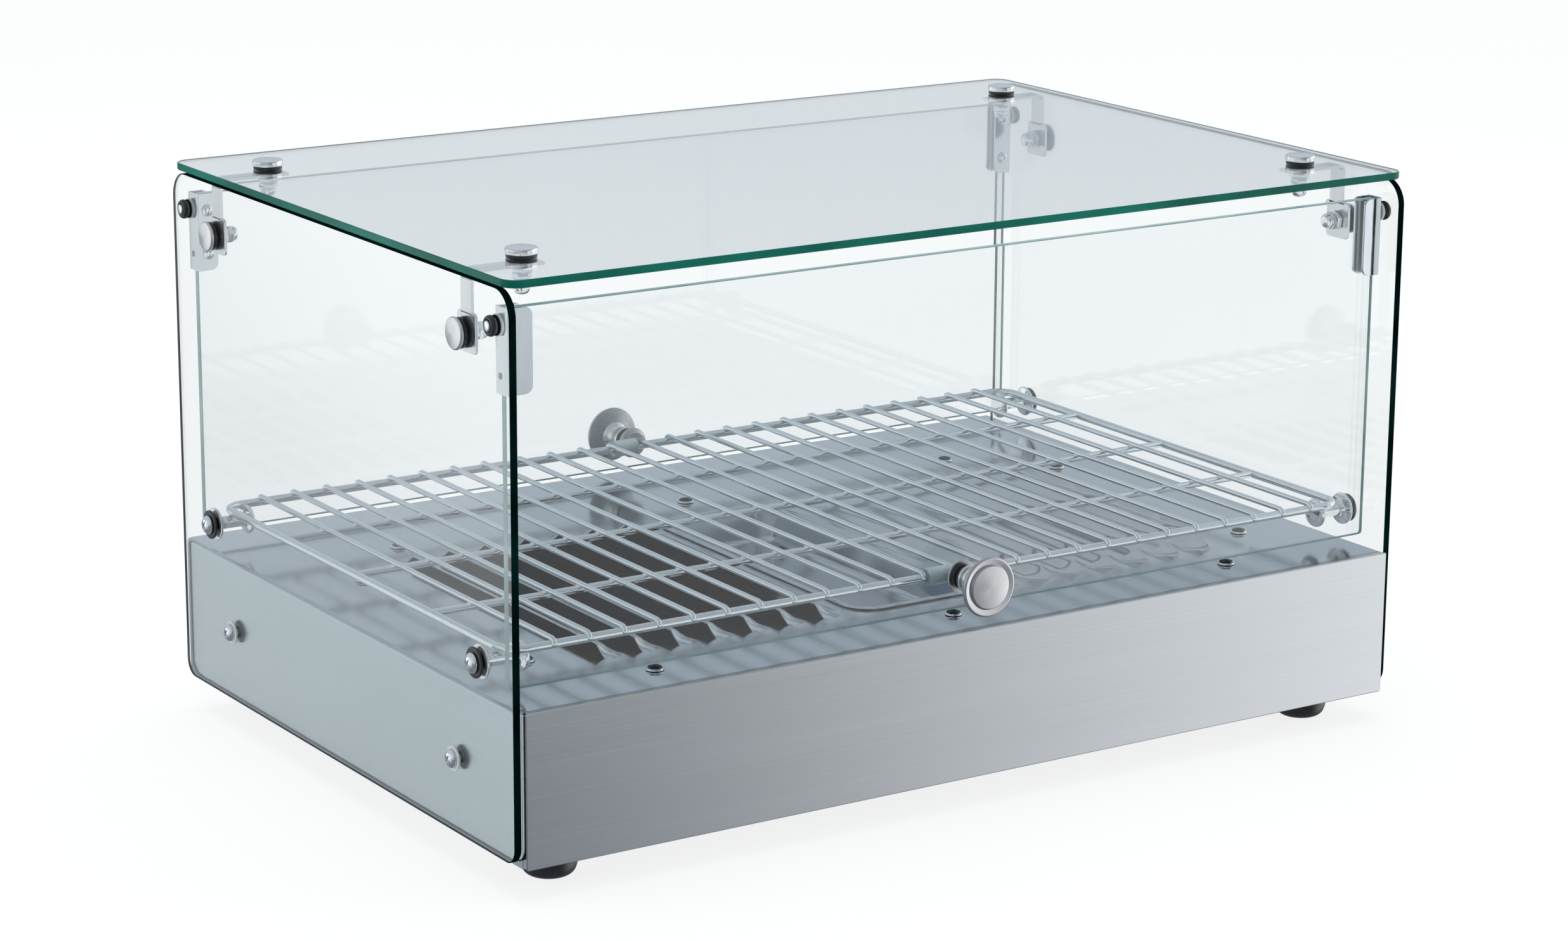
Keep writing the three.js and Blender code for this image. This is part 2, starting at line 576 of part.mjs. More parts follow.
/** U-shaped clip on the edge of a door, with clamping pads, screws and pivot pin. */
function hingeClip(sx, sy) {
  const half = 5.5;
  const web = DOOR_HALF_WIDTH + 0.4;
  const outer = web + SHEET;
  const free = outer - 12.3;
  const low = DOOR_TOP - 42;
  const high = DOOR_TOP + 0.4;
  const box = (x0, x1, y0, y1, z0, z1) => {
    const xs = [sx * x0, sx * x1].sort((a, b) => a - b);
    const ys = [sy * (DOOR_Y + y0), sy * (DOOR_Y + y1)].sort((a, b) => a - b);
    return block(...xs, ...ys, z0, z1);
  };
  const channel = box(free, outer, -half, half, low, high)
    .subtract(box(free - 1, web, -half + SHEET, half - SHEET, low - 1, high + 1));
  const faces = [sx * free, sx * outer].sort((a, b) => a - b);
  const radii = sx > 0 ? [3.5, 0.1, 0.1, 3.5] : [0.1, 3.5, 3.5, 0.1];
  const rounding = drawnAlongY(roundedRectangle(...faces, low, high, radii),
    sy * DOOR_Y - 2 * half, sy * DOOR_Y + 2 * half, 2);
  const pads = [-1, 1].map((side) => {
    const ys = [side * (GLASS / 2 + GAP), side * (half - SHEET / 2)].sort((a, b) => a - b);
    return box(free + 1.2, web - 1.2, ...ys, low + 2, high - 2);
  });
  const head = [[0, 0], [3.2, 0], [3.1, 1.2], [2, 2], [0, 2.2]];
  const screws = [0.22, 0.78].map((share) => turned(head,
    [sx * (free + 6), sy * (DOOR_Y - half + 0.2), low + share * (high - low)], [0, -sy, 0], 6));
  const pin = bar([sx * (web + 0.2), sy * DOOR_Y, PIVOT_Z],
    [sx * (SIDE_OUT + 3.8), sy * DOOR_Y, PIVOT_Z], 2, 8);
  return join([channel.intersect(rounding), ...pads, ...screws, pin]);
}

/** Rubber bush in the side glass that the hinge pin turns in. */
function hingeBush(sx, sy) {
  const profile = [[2.4, -5.8], [5.6, -5.8], [5.6, -GLASS - GAP], [4.4, -GLASS - GAP], [4.4, GAP],
    [5.3, GAP], [5.3, 2.4], [4.8, 2.9], [2.4, 2.9], [2.4, -5.8]];
  return turned(profile, [sx * SIDE_OUT, sy * DOOR_Y, PIVOT_Z], [sx, 0, 0], 10);
}

/** Door knob, its stud through the glass and the domed cap inside, turned as one. */
function doorKnob(sy) {
  const back = -GLASS;
  const profile = [[0, back - 4.9], [7, back - 3.9], [9, back - 1.8], [9, back - GAP],
    [3, back - GAP], [3, GAP], [7.8, GAP], [7.8, 2.8], [4.6, 3.6], [5.2, 11.5], [8.4, 15.6],
    [15.4, 18.2], [16, 19.6], [15.4, 20.8], [0, 22]];
  return turned(profile, [0, sy * (DOOR_Y + GLASS / 2), RACK_Z], [0, sy, 0], 14);
}

// ---------------------------------------------------------------- rack

/** The outer frame wire, one loop with four rounded corners. */
function rackFrame() {
  const loop = roundedRectangle(-RACK_HALF_X, RACK_HALF_X, -RACK_HALF_Y, RACK_HALF_Y, RACK_CORNER_R)
    .getPoints(4).slice(0, -1).map((p) => [p.x, p.y]);
  return flatTube(loop, RACK_Z, FRAME_WIRE_R, 8, true);
}

function wireRack() {
  const long = [-LONG_PITCH, 0, LONG_PITCH].map((y) =>
    bar([-RACK_HALF_X, y, RACK_Z], [RACK_HALF_X, y, RACK_Z], LONG_WIRE_R, 4));
  const cross = [];
  const crossZ = RACK_Z + FRAME_WIRE_R + CROSS_WIRE_R - 0.9;
  for (let i = 0; i < CROSS_COUNT; i += 1) {
    const x = (i - (CROSS_COUNT - 1) / 2) * CROSS_PITCH;
    cross.push(bar([x, -RACK_HALF_Y - 1, crossZ], [x, RACK_HALF_Y + 1, crossZ], CROSS_WIRE_R, 4));
  }
  return join([rackFrame(), ...long, ...cross]);
}

/** Clear sleeve on the frame wire that the knob's inner cap rests against. */
function bumperSleeve(sy) {
  const bore = FRAME_WIRE_R + GAP;
  const outside = 4.75;
  const half = 7.6;
  const profile = [[bore, -half], [outside, -half], [outside, half], [bore, half], [bore, -half]];
  return turned(profile, [-CROSS_PITCH / 2, sy * RACK_HALF_Y, RACK_Z], [1, 0, 0], 8);
}

// ---------------------------------------------------------------- controls

function switchHousing() {
  const face = REAR_FACE;
  const bezel = block(SWITCH_X - 16.5, SWITCH_X + 16.5, face + GAP, face + 2.3,
    CONTROL_Z - 12.5, CONTROL_Z + 12.5);
  const body = block(SWITCH_X - 14, SWITCH_X + 14, face - 24, face + 1, CONTROL_Z - 10, CONTROL_Z + 10);
  const well = block(SWITCH_X - 12.5, SWITCH_X + 12.5, face - 8, face + 3, CONTROL_Z - 9, CONTROL_Z + 9);
  return bezel.add(body).subtract(well);
}

/** Rocker at rest in its off position, half of its travel below the middle. */
function switchRocker() {
  const tilt = THREE.MathUtils.degToRad(-8);
  const points = [[-3.5, -5.5], [4.6, -7.9], [3, 0], [4.6, 7.9], [-3.5, 5.5]].map(([out, up]) => [
    REAR_FACE + out * Math.cos(tilt) - up * Math.sin(tilt),
    CONTROL_Z + out * Math.sin(tilt) + up * Math.cos(tilt)]);
  return drawnAlongX(outline(points), SWITCH_X - 12, SWITCH_X + 12);
}

function pilotLamp() {
  const profile = [[0, -20], [4.6, -20], [4.6, GAP], [7, GAP], [7, 1.6], [5.6, 3.6], [3, 4.8], [0, 5.2]];
  return turned(profile, [LAMP_X, REAR_FACE, CONTROL_Z], [0, 1, 0], 10);
}

/** Capillary thermostat: round case inside, threaded neck and nut through the panel. */
function thermostatBody() {
  const profile = [[3.4, -26], [17, -26], [17, -5], [5.2, -5], [5.2, GAP], [8, GAP], [8, 2], [5.2, 2],
    [5.2, 2.6], [3.4, 2.6], [3.4, -26]];
  return turned(profile, [THERMOSTAT_X, REAR_FACE, CONTROL_Z], [0, 1, 0], 14);
}

function thermostatKnob() {
  const profile = [[0, -24], [2.8, -24], [2.8, 3.2], [18, 3.2], [18.6, 4.4], [17.2, 5], [15.6, 11.2],
    [14.8, 11.9], [0, 12]];
  const dial = turned(profile, [THERMOSTAT_X, REAR_FACE, CONTROL_Z], [0, 1, 0], 14);
  const groove = block(THERMOSTAT_X - 0.8, THERMOSTAT_X + 0.8, REAR_FACE + 11, REAR_FACE + 13,
    CONTROL_Z + 4, CONTROL_Z + 16);
  return dial.subtract(groove);
}

/** Cable gland, open right through for the supply lead. */
function cableGland() {
  const profile = [[4, -14], [10.5, -14], [10.5, -2], [7.9, -2], [7.9, GAP], [11, GAP], [11, 5], [9, 5.6],
    [8.4, 9], [6.4, 11], [4, 11], [4, -14]];
  return turned(profile, [GLAND_X, REAR_FACE, CONTROL_Z], [0, 1, 0], 12);
}

function terminalBlock() {
  const low = BASE_BOTTOM + SHEET + GAP;
  const body = block(-180, -120, 128, 148, low, low + 14);
  const ribs = [0, 1, 2, 3].map((i) => block(-180 + i * 19, -177 + i * 19, 128, 148, low + 13, low + 20));
  return join([body, ...ribs]);
}

/** Bundle of leads from the terminal block to the thermostat and the switch. */
function wiringLoom() {
  const route = [[-119, 138, 11.5], [-98, 138, 13.5], [-60, 140, 21.5], [0, 141, 24.5], [60, 140, 27.5],
    [96, 140, 35.5], [SWITCH_X, 147, 40], [SWITCH_X, REAR_FACE - 25, 40]];
  const path = new THREE.CatmullRomCurve3(route.map(([x, y, up]) => new THREE.Vector3(x, y, BASE_BOTTOM + up)));
  return swept(path, 3, 16, 6);
}

// ---------------------------------------------------------------- put together

add('base_casing', baseCasing(), polished);
add('front_panel', panelTray(WALL_OUT, BASE_BOTTOM, DECK, FRONT_FACE, 1), brushed);
add('rear_panel', rearPanel(), brushed);
add('bottom_plate', bottomPlate(), zinc);
add('heater_tray', heaterTray(), zinc);
add('water_pan', waterPan(), polished);
add('top_glass', topGlass(), glassFinish);
for (const [side, sx] of SIDES) {
  add(`${side}_heating_element`, heatingElement(sx), zinc);
  add(`${side}_element_bracket`, elementBracket(sx), zinc);
  add(`${side}_side_glass`, sideGlass(sx), glassFinish);
}
for (const [end, sy] of ENDS) {
  add(`${end}_door_glass`, doorGlass(sy), glassFinish);
  add(`${end}_door_knob`, doorKnob(sy), brushed);
  add(`${end}_bumper_sleeve`, bumperSleeve(sy), clearPlastic);
}
atCorners((corner, sx, sy) => {
  add(`${corner}_foot`, foot(sx, sy), rubber);
  add(`${corner}_corner_bracket`, cornerBracket(sx, sy), polished);
  add(`${corner}_top_bolt`,
    glassBolt(3.4, 4, 7, [sx * BOLT_X, sy * BOLT_Y, TOP_TOP], [0, 0, 1]), chrome);
  add(`${corner}_side_bolt`,
    glassBolt(2.6, 4, 6, [sx * SIDE_OUT, sy * BOLT_Y, SIDE_BOLT_Z], [sx, 0, 0]), chrome);
  add(`${corner}_shelf_peg`, shelfPeg(sx, sy), chrome);
  add(`${corner}_base_screw`, baseScrew(sx, sy), chrome);
  add(`${corner}_hinge_clip`, hingeClip(sx, sy), chrome);
  add(`${corner}_hinge_bush`, hingeBush(sx, sy), rubber);
});
add('wire_rack', wireRack(), chrome);
add('switch_housing', switchHousing(), blackPlastic);
add('switch_rocker', switchRocker(), blackPlastic);
add('pilot_lamp', pilotLamp(), amber);
add('thermostat_body', thermostatBody(), zinc);
add('thermostat_knob', thermostatKnob(), blackPlastic);
add('cable_gland', cableGland(), blackPlastic);
add('terminal_block', terminalBlock(), ceramic);
add('wiring_loom', wiringLoom(), wireJacket);

export default cabinet;
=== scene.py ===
"""Countertop heated display cabinet: the visible surfaces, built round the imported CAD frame.

Lengths are in millimetres, +X to the right seen from the front, +Y to the rear, +Z up.
"""
import math

import bmesh
import bpy
from mathutils import Matrix, Vector
from mathutils.geometry import tessellate_polygon


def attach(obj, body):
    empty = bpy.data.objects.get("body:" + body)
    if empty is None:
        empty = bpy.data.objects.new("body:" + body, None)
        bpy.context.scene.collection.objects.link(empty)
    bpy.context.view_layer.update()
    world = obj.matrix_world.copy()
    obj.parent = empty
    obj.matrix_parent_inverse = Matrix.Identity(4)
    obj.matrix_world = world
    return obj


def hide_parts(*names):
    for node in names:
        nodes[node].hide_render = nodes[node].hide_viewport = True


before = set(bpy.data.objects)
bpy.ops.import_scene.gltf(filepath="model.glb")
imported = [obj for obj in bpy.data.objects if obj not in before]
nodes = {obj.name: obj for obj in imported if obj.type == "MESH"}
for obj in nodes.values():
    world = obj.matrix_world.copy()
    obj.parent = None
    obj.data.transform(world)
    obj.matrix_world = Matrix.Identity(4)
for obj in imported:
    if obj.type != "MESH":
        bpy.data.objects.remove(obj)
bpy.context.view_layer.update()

MM = 0.001

# ------------------------------------------------------------------ dimensions

GLASS = 4.0
SHEET = 1.2
GAP = 0.3
FOOT_HEIGHT = 16.5
BASE_BOTTOM = FOOT_HEIGHT
DECK = BASE_BOTTOM + 80.0
SIDE_OUT = 277.0
SIDE_IN = SIDE_OUT - GLASS
SIDE_BOTTOM = BASE_BOTTOM + 2.0
SIDE_TOP = SIDE_BOTTOM + 285.0
TOP_BOTTOM = SIDE_TOP + 1.0
TOP_TOP = TOP_BOTTOM + GLASS
GLASS_HALF_Y = 186.0
STRAP_DROP = 1.8
STRAP_THICK = 1.5
WALL_OUT = SIDE_IN - 0.8
CASING_FRONT = -185.2
CASING_REAR = 186.0
FRONT_FACE = -189.5
REAR_FACE = 182.0
REAR_HALF = 270.5
DOOR_HALF = 269.0
DOOR_Y = 170.0
DOOR_BOTTOM = DECK + 7.1
DOOR_TOP = TOP_BOTTOM - 11.9
PIVOT_Z = DOOR_TOP - 8.0
BOLT_X = 243.0
BOLT_Y = 138.0
SIDE_BOLT_Z = TOP_TOP - 33.4
PEG_Y = 149.0
PEG_Z = DECK + 16.5
BASE_SCREW_Y = 126.0
BASE_SCREW_Z = BASE_BOTTOM + 41.0
FOOT_X = 241.5
FOOT_Y = 157.0
FRAME_R = 2.25
LONG_R = 2.0
CROSS_R = 1.5
RACK_Z = PEG_Z + 3.5 + GAP + FRAME_R
RACK_HALF_X = 263.0
RACK_HALF_Y = 158.0
RACK_CORNER = 11.0
CROSS_PITCH = 20.0
CROSS_COUNT = 25
LONG_PITCH = 82.0
PATTERN_Y = -27.0
LOUVRE_HALF = 105.0
LOUVRE_FIRST = 62.0
LOUVRE_PITCH = 22.0
LOUVRE_COUNT = 7
PAN_X = 41.5
PAN_Y = 105.0
ELEMENT_Z = BASE_BOTTOM + 38.0
CONTROL_Z = BASE_BOTTOM + 40.0
SWITCH_X = 110.0
LAMP_X = 62.0
THERMOSTAT_X = -60.0
GLAND_X = -215.0

X, Y, Z = Vector((1, 0, 0)), Vector((0, 1, 0)), Vector((0, 0, 1))
CORNERS = [(end, side, sx, sy) for end, sy in (("front", -1), ("rear", 1))
           for side, sx in (("left", -1), ("right", 1))]


# ------------------------------------------------------------------ materials

class Nodes:
    """A small writer of the node tree of a material, or of the world."""

    def __init__(self, name, owner=None, output="OutputMaterial"):
        self.owner = owner or bpy.data.materials.new(name)
        self.owner.use_nodes = True
        self.tree = self.owner.node_tree
        self.tree.nodes.clear()
        self.out = self.tree.nodes.new("ShaderNode" + output)
        self.coords = self.tree.nodes.new("ShaderNodeTexCoord")

    def add(self, kind, settings=None, **inputs):
        node = self.tree.nodes.new("ShaderNode" + kind)
        for key, value in (settings or {}).items():
            setattr(node, key, value)
        for key, value in inputs.items():
            self.put(node, key.replace("_", " "), value)
        return node

    def put(self, node, name, value):
        socket = node.inputs[int(name)] if name.isdigit() else node.inputs[name]
        if isinstance(value, bpy.types.NodeSocket):
            self.tree.links.new(value, socket)
        else:
            socket.default_value = value

    def mapped(self, scale, offset=(0, 0, 0)):
        if isinstance(scale, (int, float)):
            scale = (scale,) * 3
        where = self.add("Mapping", Vector=self.coords.outputs["Object"], Scale=scale, Location=offset)
        return where.outputs["Vector"]

    def noise(self, scale, detail=3.0, offset=(0, 0, 0)):
        where = self.mapped(scale, offset)
        return self.add("TexNoise", Vector=where, Scale=1.0, Detail=detail).outputs["Fac"]

    def ramp(self, fac, stops):
        made = self.add("ValToRGB", Fac=fac)
        elements = made.color_ramp.elements
        while len(elements) < len(stops):
            elements.new(0.5)
        for element, (at, color) in zip(elements, stops):
            element.position = at
            element.color = (*color, 1.0)
        return made.outputs["Color"]

    def between(self, fac, low, high):
        return self.add("MapRange", Value=fac, To_Min=low, To_Max=high).outputs["Result"]

    def bump(self, height, distance):
        return self.add("Bump", Height=height, Distance=distance, Strength=1.0).outputs["Normal"]

    def close(self, shader):
        self.tree.links.new(shader, self.out.inputs["Surface"])
        return self.owner


def shaded(color, factor):
    return tuple(min(1.0, c * factor) for c in color)


def surface(name, color, rough, metallic=0.0, grain=60, spread=0.06, rough_spread=0.03,
            relief=0.00002, stain=9, anisotropic=0.0):
    """A worn solid finish: broad stains and fine grain in the colour, roughness and relief."""
    n = Nodes(name)
    fine = n.noise(grain, 4.0)
    broad = n.noise(stain, 2.0, (3.1, 1.7, 0.4))
    both = n.add("Math", {"operation": "ADD"}, **{"0": fine, "1": broad}).outputs[0]
    mean = n.add("Math", {"operation": "MULTIPLY"}, **{"0": both, "1": 0.5}).outputs[0]
    tone = n.ramp(mean, [(0.3, shaded(color, 1 - spread)), (0.7, shaded(color, 1 + spread))])
    shader = n.add("BsdfPrincipled", Base_Color=tone, Metallic=metallic,
                   Roughness=n.between(mean, rough - rough_spread, rough + rough_spread),
                   Normal=n.bump(fine, relief), Anisotropic=anisotropic)
    return n.close(shader.outputs[0])


def clear_glass(name, tint):
    """Clear glass that lets lamps through to what is behind it."""
    n = Nodes(name)
    tone = n.ramp(n.noise(5, 2.0), [(0.3, tint), (0.7, shaded(tint, 1.01))])
    glass = n.add("BsdfPrincipled", Base_Color=tone, Roughness=0.0, IOR=1.5, Transmission_Weight=1.0)
    shadow = n.add("BsdfTransparent", Color=(0.93, 0.97, 0.965, 1))
    path = n.add("LightPath").outputs["Is Shadow Ray"]
    mix = n.add("MixShader", **{"0": path, "1": glass.outputs[0], "2": shadow.outputs[0]})
    return n.close(mix.outputs[0])


def edge_glass(name, dark, light, gloss=0.35):
    """Ground and polished glass edge, green from the depth of glass behind it; its near-black and pale
    copies are painted shade and painted light on one and the same glass.
    """
    n = Nodes(name)
    tone = n.ramp(n.noise((14, 14, 30), 3.0), [(0.35, dark), (0.7, light)])
    shader = n.add("BsdfPrincipled", Base_Color=tone, Specular_IOR_Level=gloss,
                   Roughness=n.between(n.noise(90), 0.08, 0.2))
    return n.close(shader.outputs[0])


GLASS_CLEAR = clear_glass("glass_clear", (0.915, 0.935, 0.938))
# One glass edge in three tones: the near-black copy for the side panes is painted shade, the pale copy for
# the doors is painted light.
EDGE_PAINTED_SHADE = edge_glass("glass_edge_painted_shade", (0.0004, 0.004, 0.004), (0.002, 0.014, 0.013), gloss=0.0)
EDGE_GREEN = edge_glass("glass_edge_green", (0.0005, 0.085, 0.060), (0.003, 0.18, 0.13), gloss=0.12)
EDGE_PAINTED_LIGHT = edge_glass("glass_edge_painted_light", (0.20, 0.34, 0.35), (0.40, 0.54, 0.55))
BRUSHED = surface("brushed_panel", (0.54, 0.56, 0.575), 0.17, 1.0, grain=(6, 6, 1500), spread=0.04,
                  relief=0.000006, stain=(2, 2, 30), anisotropic=0.6)
POLISHED = surface("polished_sheet", (0.52, 0.56, 0.60), 0.13, 1.0, grain=(300, 12, 300), spread=0.05,
                   rough_spread=0.04, relief=0.000004, stain=6)
STRAP = surface("strap_steel", (0.66, 0.68, 0.70), 0.22, 1.0, grain=(400, 400, 60))
CHROME = surface("bright_chrome", (0.78, 0.80, 0.82), 0.06, 1.0, grain=200, spread=0.03,
                 rough_spread=0.02, relief=0.000001)
WIRE = surface("rack_chrome", (0.72, 0.77, 0.80), 0.10, 1.0, grain=(150, 40, 150), spread=0.05,
               relief=0.000004)
# The side walls: the deck's steel in a darker, bluer copy, painted shade on the sheet where it turns down
# from the deck.
SHADED_WALL_STEEL = surface("casing_wall_painted_shade", (0.46, 0.53, 0.56), 0.20, 1.0, grain=(20, 20, 900), spread=0.05,
               relief=0.000006, stain=(4, 4, 9))
CLIP = surface("clip_steel", (0.60, 0.65, 0.68), 0.09, 1.0, grain=(300, 300, 60), spread=0.05)
# A near-black metal for the tray inside the base and the undersides of the louvre hoods: painted shade.
PAINTED_SHADE_SHEET = surface("painted_shade_sheet", (0.016, 0.023, 0.034), 0.38, 1.0, grain=120, spread=0.15)


def turned_steel(axis, dark, pale):
    """Steel finished on the lathe: rings round the axis that fan the light out."""
    n = Nodes("turned_steel_" + axis.lower())
    across = tuple(0.0 if letter == axis else 1.0 for letter in "XYZ")
    place = n.coords.outputs["Generated"]
    flat = n.add("VectorMath", {"operation": "MULTIPLY"}, **{"0": place, "1": across})
    middle = tuple(0.5 * a for a in across)
    reach = n.add("VectorMath", {"operation": "DISTANCE"}, **{"0": flat.outputs[0], "1": middle})
    rings = n.add("TexNoise", {"noise_dimensions": "1D"}, W=reach.outputs["Value"], Scale=90.0, Detail=3.0)
    fine = rings.outputs["Fac"]
    tone = n.ramp(fine, [(0.3, (dark, dark, dark + 0.01)), (0.7, (pale, pale, pale + 0.01))])
    tangent = n.add("Tangent", {"direction_type": "RADIAL", "axis": axis})
    shader = n.add("BsdfPrincipled", Base_Color=tone, Metallic=1.0, Roughness=n.between(fine, 0.22, 0.34),
                   Normal=n.bump(fine, 0.00001), Tangent=tangent.outputs[0], Anisotropic=0.8)
    return n.close(shader.outputs[0])


TURNED_X = turned_steel("X", 0.68, 0.84)
TURNED_Y = turned_steel("Y", 0.46, 0.58)
BRASSY = surface("knob_neck", (0.60, 0.56, 0.46), 0.12, 1.0, grain=(60, 900, 60), spread=0.08)
# The cut edge at each louvre's mouth, far paler than the sheet it is cut from: a painted highlight.
LIP_PAINTED_HIGHLIGHT = surface("cut_lip_painted_highlight", (0.86, 0.90, 0.92), 0.28, 1.0, grain=300, spread=0.05)
# A near-black metal that paints darkness in: the dark tops of the deck screw heads, a painted reflection,
# and the spare hole on each hinge clip, painted shade.
PAINTED_DARK_METAL = surface("painted_dark_metal", (0.13, 0.14, 0.15), 0.12, 1.0, grain=300, spread=0.1)
ZINC = surface("zinc_sheet", (0.46, 0.48, 0.50), 0.36, 1.0, grain=120, spread=0.12,
               rough_spread=0.08, stain=25)
SHEATH = surface("element_sheath", (0.10, 0.11, 0.13), 0.42, 0.9, grain=(90, 400, 90), spread=0.2)
RUBBER = surface("black_rubber", (0.014, 0.014, 0.016), 0.32, grain=500, spread=0.25,
                 rough_spread=0.08, relief=0.00003, stain=60)
PLASTIC = surface("black_plastic", (0.022, 0.022, 0.024), 0.36, grain=1400, spread=0.2,
                  rough_spread=0.05, relief=0.00003)
COLLAR = surface("pale_collar", (0.62, 0.64, 0.64), 0.35, grain=300)
CERAMIC = surface("ceramic_block", (0.74, 0.70, 0.61), 0.6, grain=700, spread=0.08,
                  relief=0.00005)
JACKET = surface("wire_jacket", (0.66, 0.66, 0.62), 0.5, grain=400)
MARK = surface("dial_mark", (0.80, 0.80, 0.78), 0.45, grain=500, spread=0.04)


def translucent(name, stain, dark, light, fine, through, ior=1.5, coat=0.0):
    """Plastic that lets part of the light through."""
    n = Nodes(name)
    tone = n.ramp(n.noise(stain), [(0.3, dark), (0.7, light)])
    shader = n.add("BsdfPrincipled", Base_Color=tone, Roughness=n.between(n.noise(fine), 0.1, 0.2), IOR=ior,
                   Transmission_Weight=through, Coat_Weight=coat)
    return n.close(shader.outputs[0])


SLEEVE = translucent("sleeve_clear", (60, 200, 200), (0.62, 0.72, 0.76), (0.80, 0.88, 0.90), 200, 0.55,
                     ior=1.4)
LENS = translucent("lamp_lens", 400, (0.55, 0.14, 0.01), (0.80, 0.26, 0.02), 900, 0.3, coat=0.5)


# ------------------------------------------------------------------ outlines

def rounded_rect(x0, x1, y0, y1, radii, steps=8):
    """Anticlockwise outline; radii run from the low-low corner, anticlockwise."""
    a, b, c, d = radii if isinstance(radii, (tuple, list)) else (radii,) * 4
    points = []
    for cx, cy, r, start in ((x0 + a, y0 + a, a, 180), (x1 - b, y0 + b, b, 270),
                             (x1 - c, y1 - c, c, 0), (x0 + d, y1 - d, d, 90)):
        for i in range(steps + 1):
            t = math.radians(start + 90 * i / steps)
            points.append((cx + r * math.cos(t), cy + r * math.sin(t)))
    return [p for i, p in enumerate(points) if math.dist(p, points[i - 1]) > 1e-4]


def circle(cx, cy, r, count=28):
    return [(cx + r * math.cos(2 * math.pi * i / count), cy + r * math.sin(2 * math.pi * i / count))
            for i in range(count)]


def inset(loop, distance):
    """Moves an anticlockwise outline inwards; a negative distance moves it outwards."""
    count = len(loop)
    made = []
    for i in range(count):
        before, here, after = (Vector(loop[(i + k) % count]) for k in (-1, 0, 1))
        u, v = (here - before).normalized(), (after - here).normalized()
        along = (u + v).normalized()
        widen = 1 / max(0.3, along.dot(v))
        made.append((here.x - along.y * distance * widen, here.y + along.x * distance * widen))
    return made


def softened(profile, radius, steps=3):
    """Rounds the inner corners of an open [radius, height] profile."""
    made = [Vector(profile[0])]
    for before, here, after in zip(profile, profile[1:], profile[2:]):
        before, here, after = Vector(before), Vector(here), Vector(after)
        u, v = before - here, after - here
        if u.length < 1e-6 or v.length < 1e-6:
            continue
        reach = min(radius, u.length * 0.45, v.length * 0.45)
        start, end = here + u.normalized() * reach, here + v.normalized() * reach
        for i in range(steps + 1):
            t = i / steps
            made.append(start * (1 - t) ** 2 + here * 2 * t * (1 - t) + end * t * t)
    made.append(Vector(profile[-1]))
    return [tuple(p) for p in made]


def rod(radius, low, high):
    return [(0, low), (radius, low), (radius, high), (0, high)]


def washer(inner, outer, low, high, soft=0.0, steps=3):
    """A closed ring profile, its corners rounded where soft is given."""
    profile = [(inner, low), (outer, low), (outer, high), (inner, high), (inner, low)]
    return softened(profile, soft, steps) if soft else profile


# ------------------------------------------------------------------ pieces

def in_scene(name, data):
    """A new object in the scene's collection."""
    made = bpy.data.objects.new(name, data)
    bpy.context.scene.collection.objects.link(made)
    return made


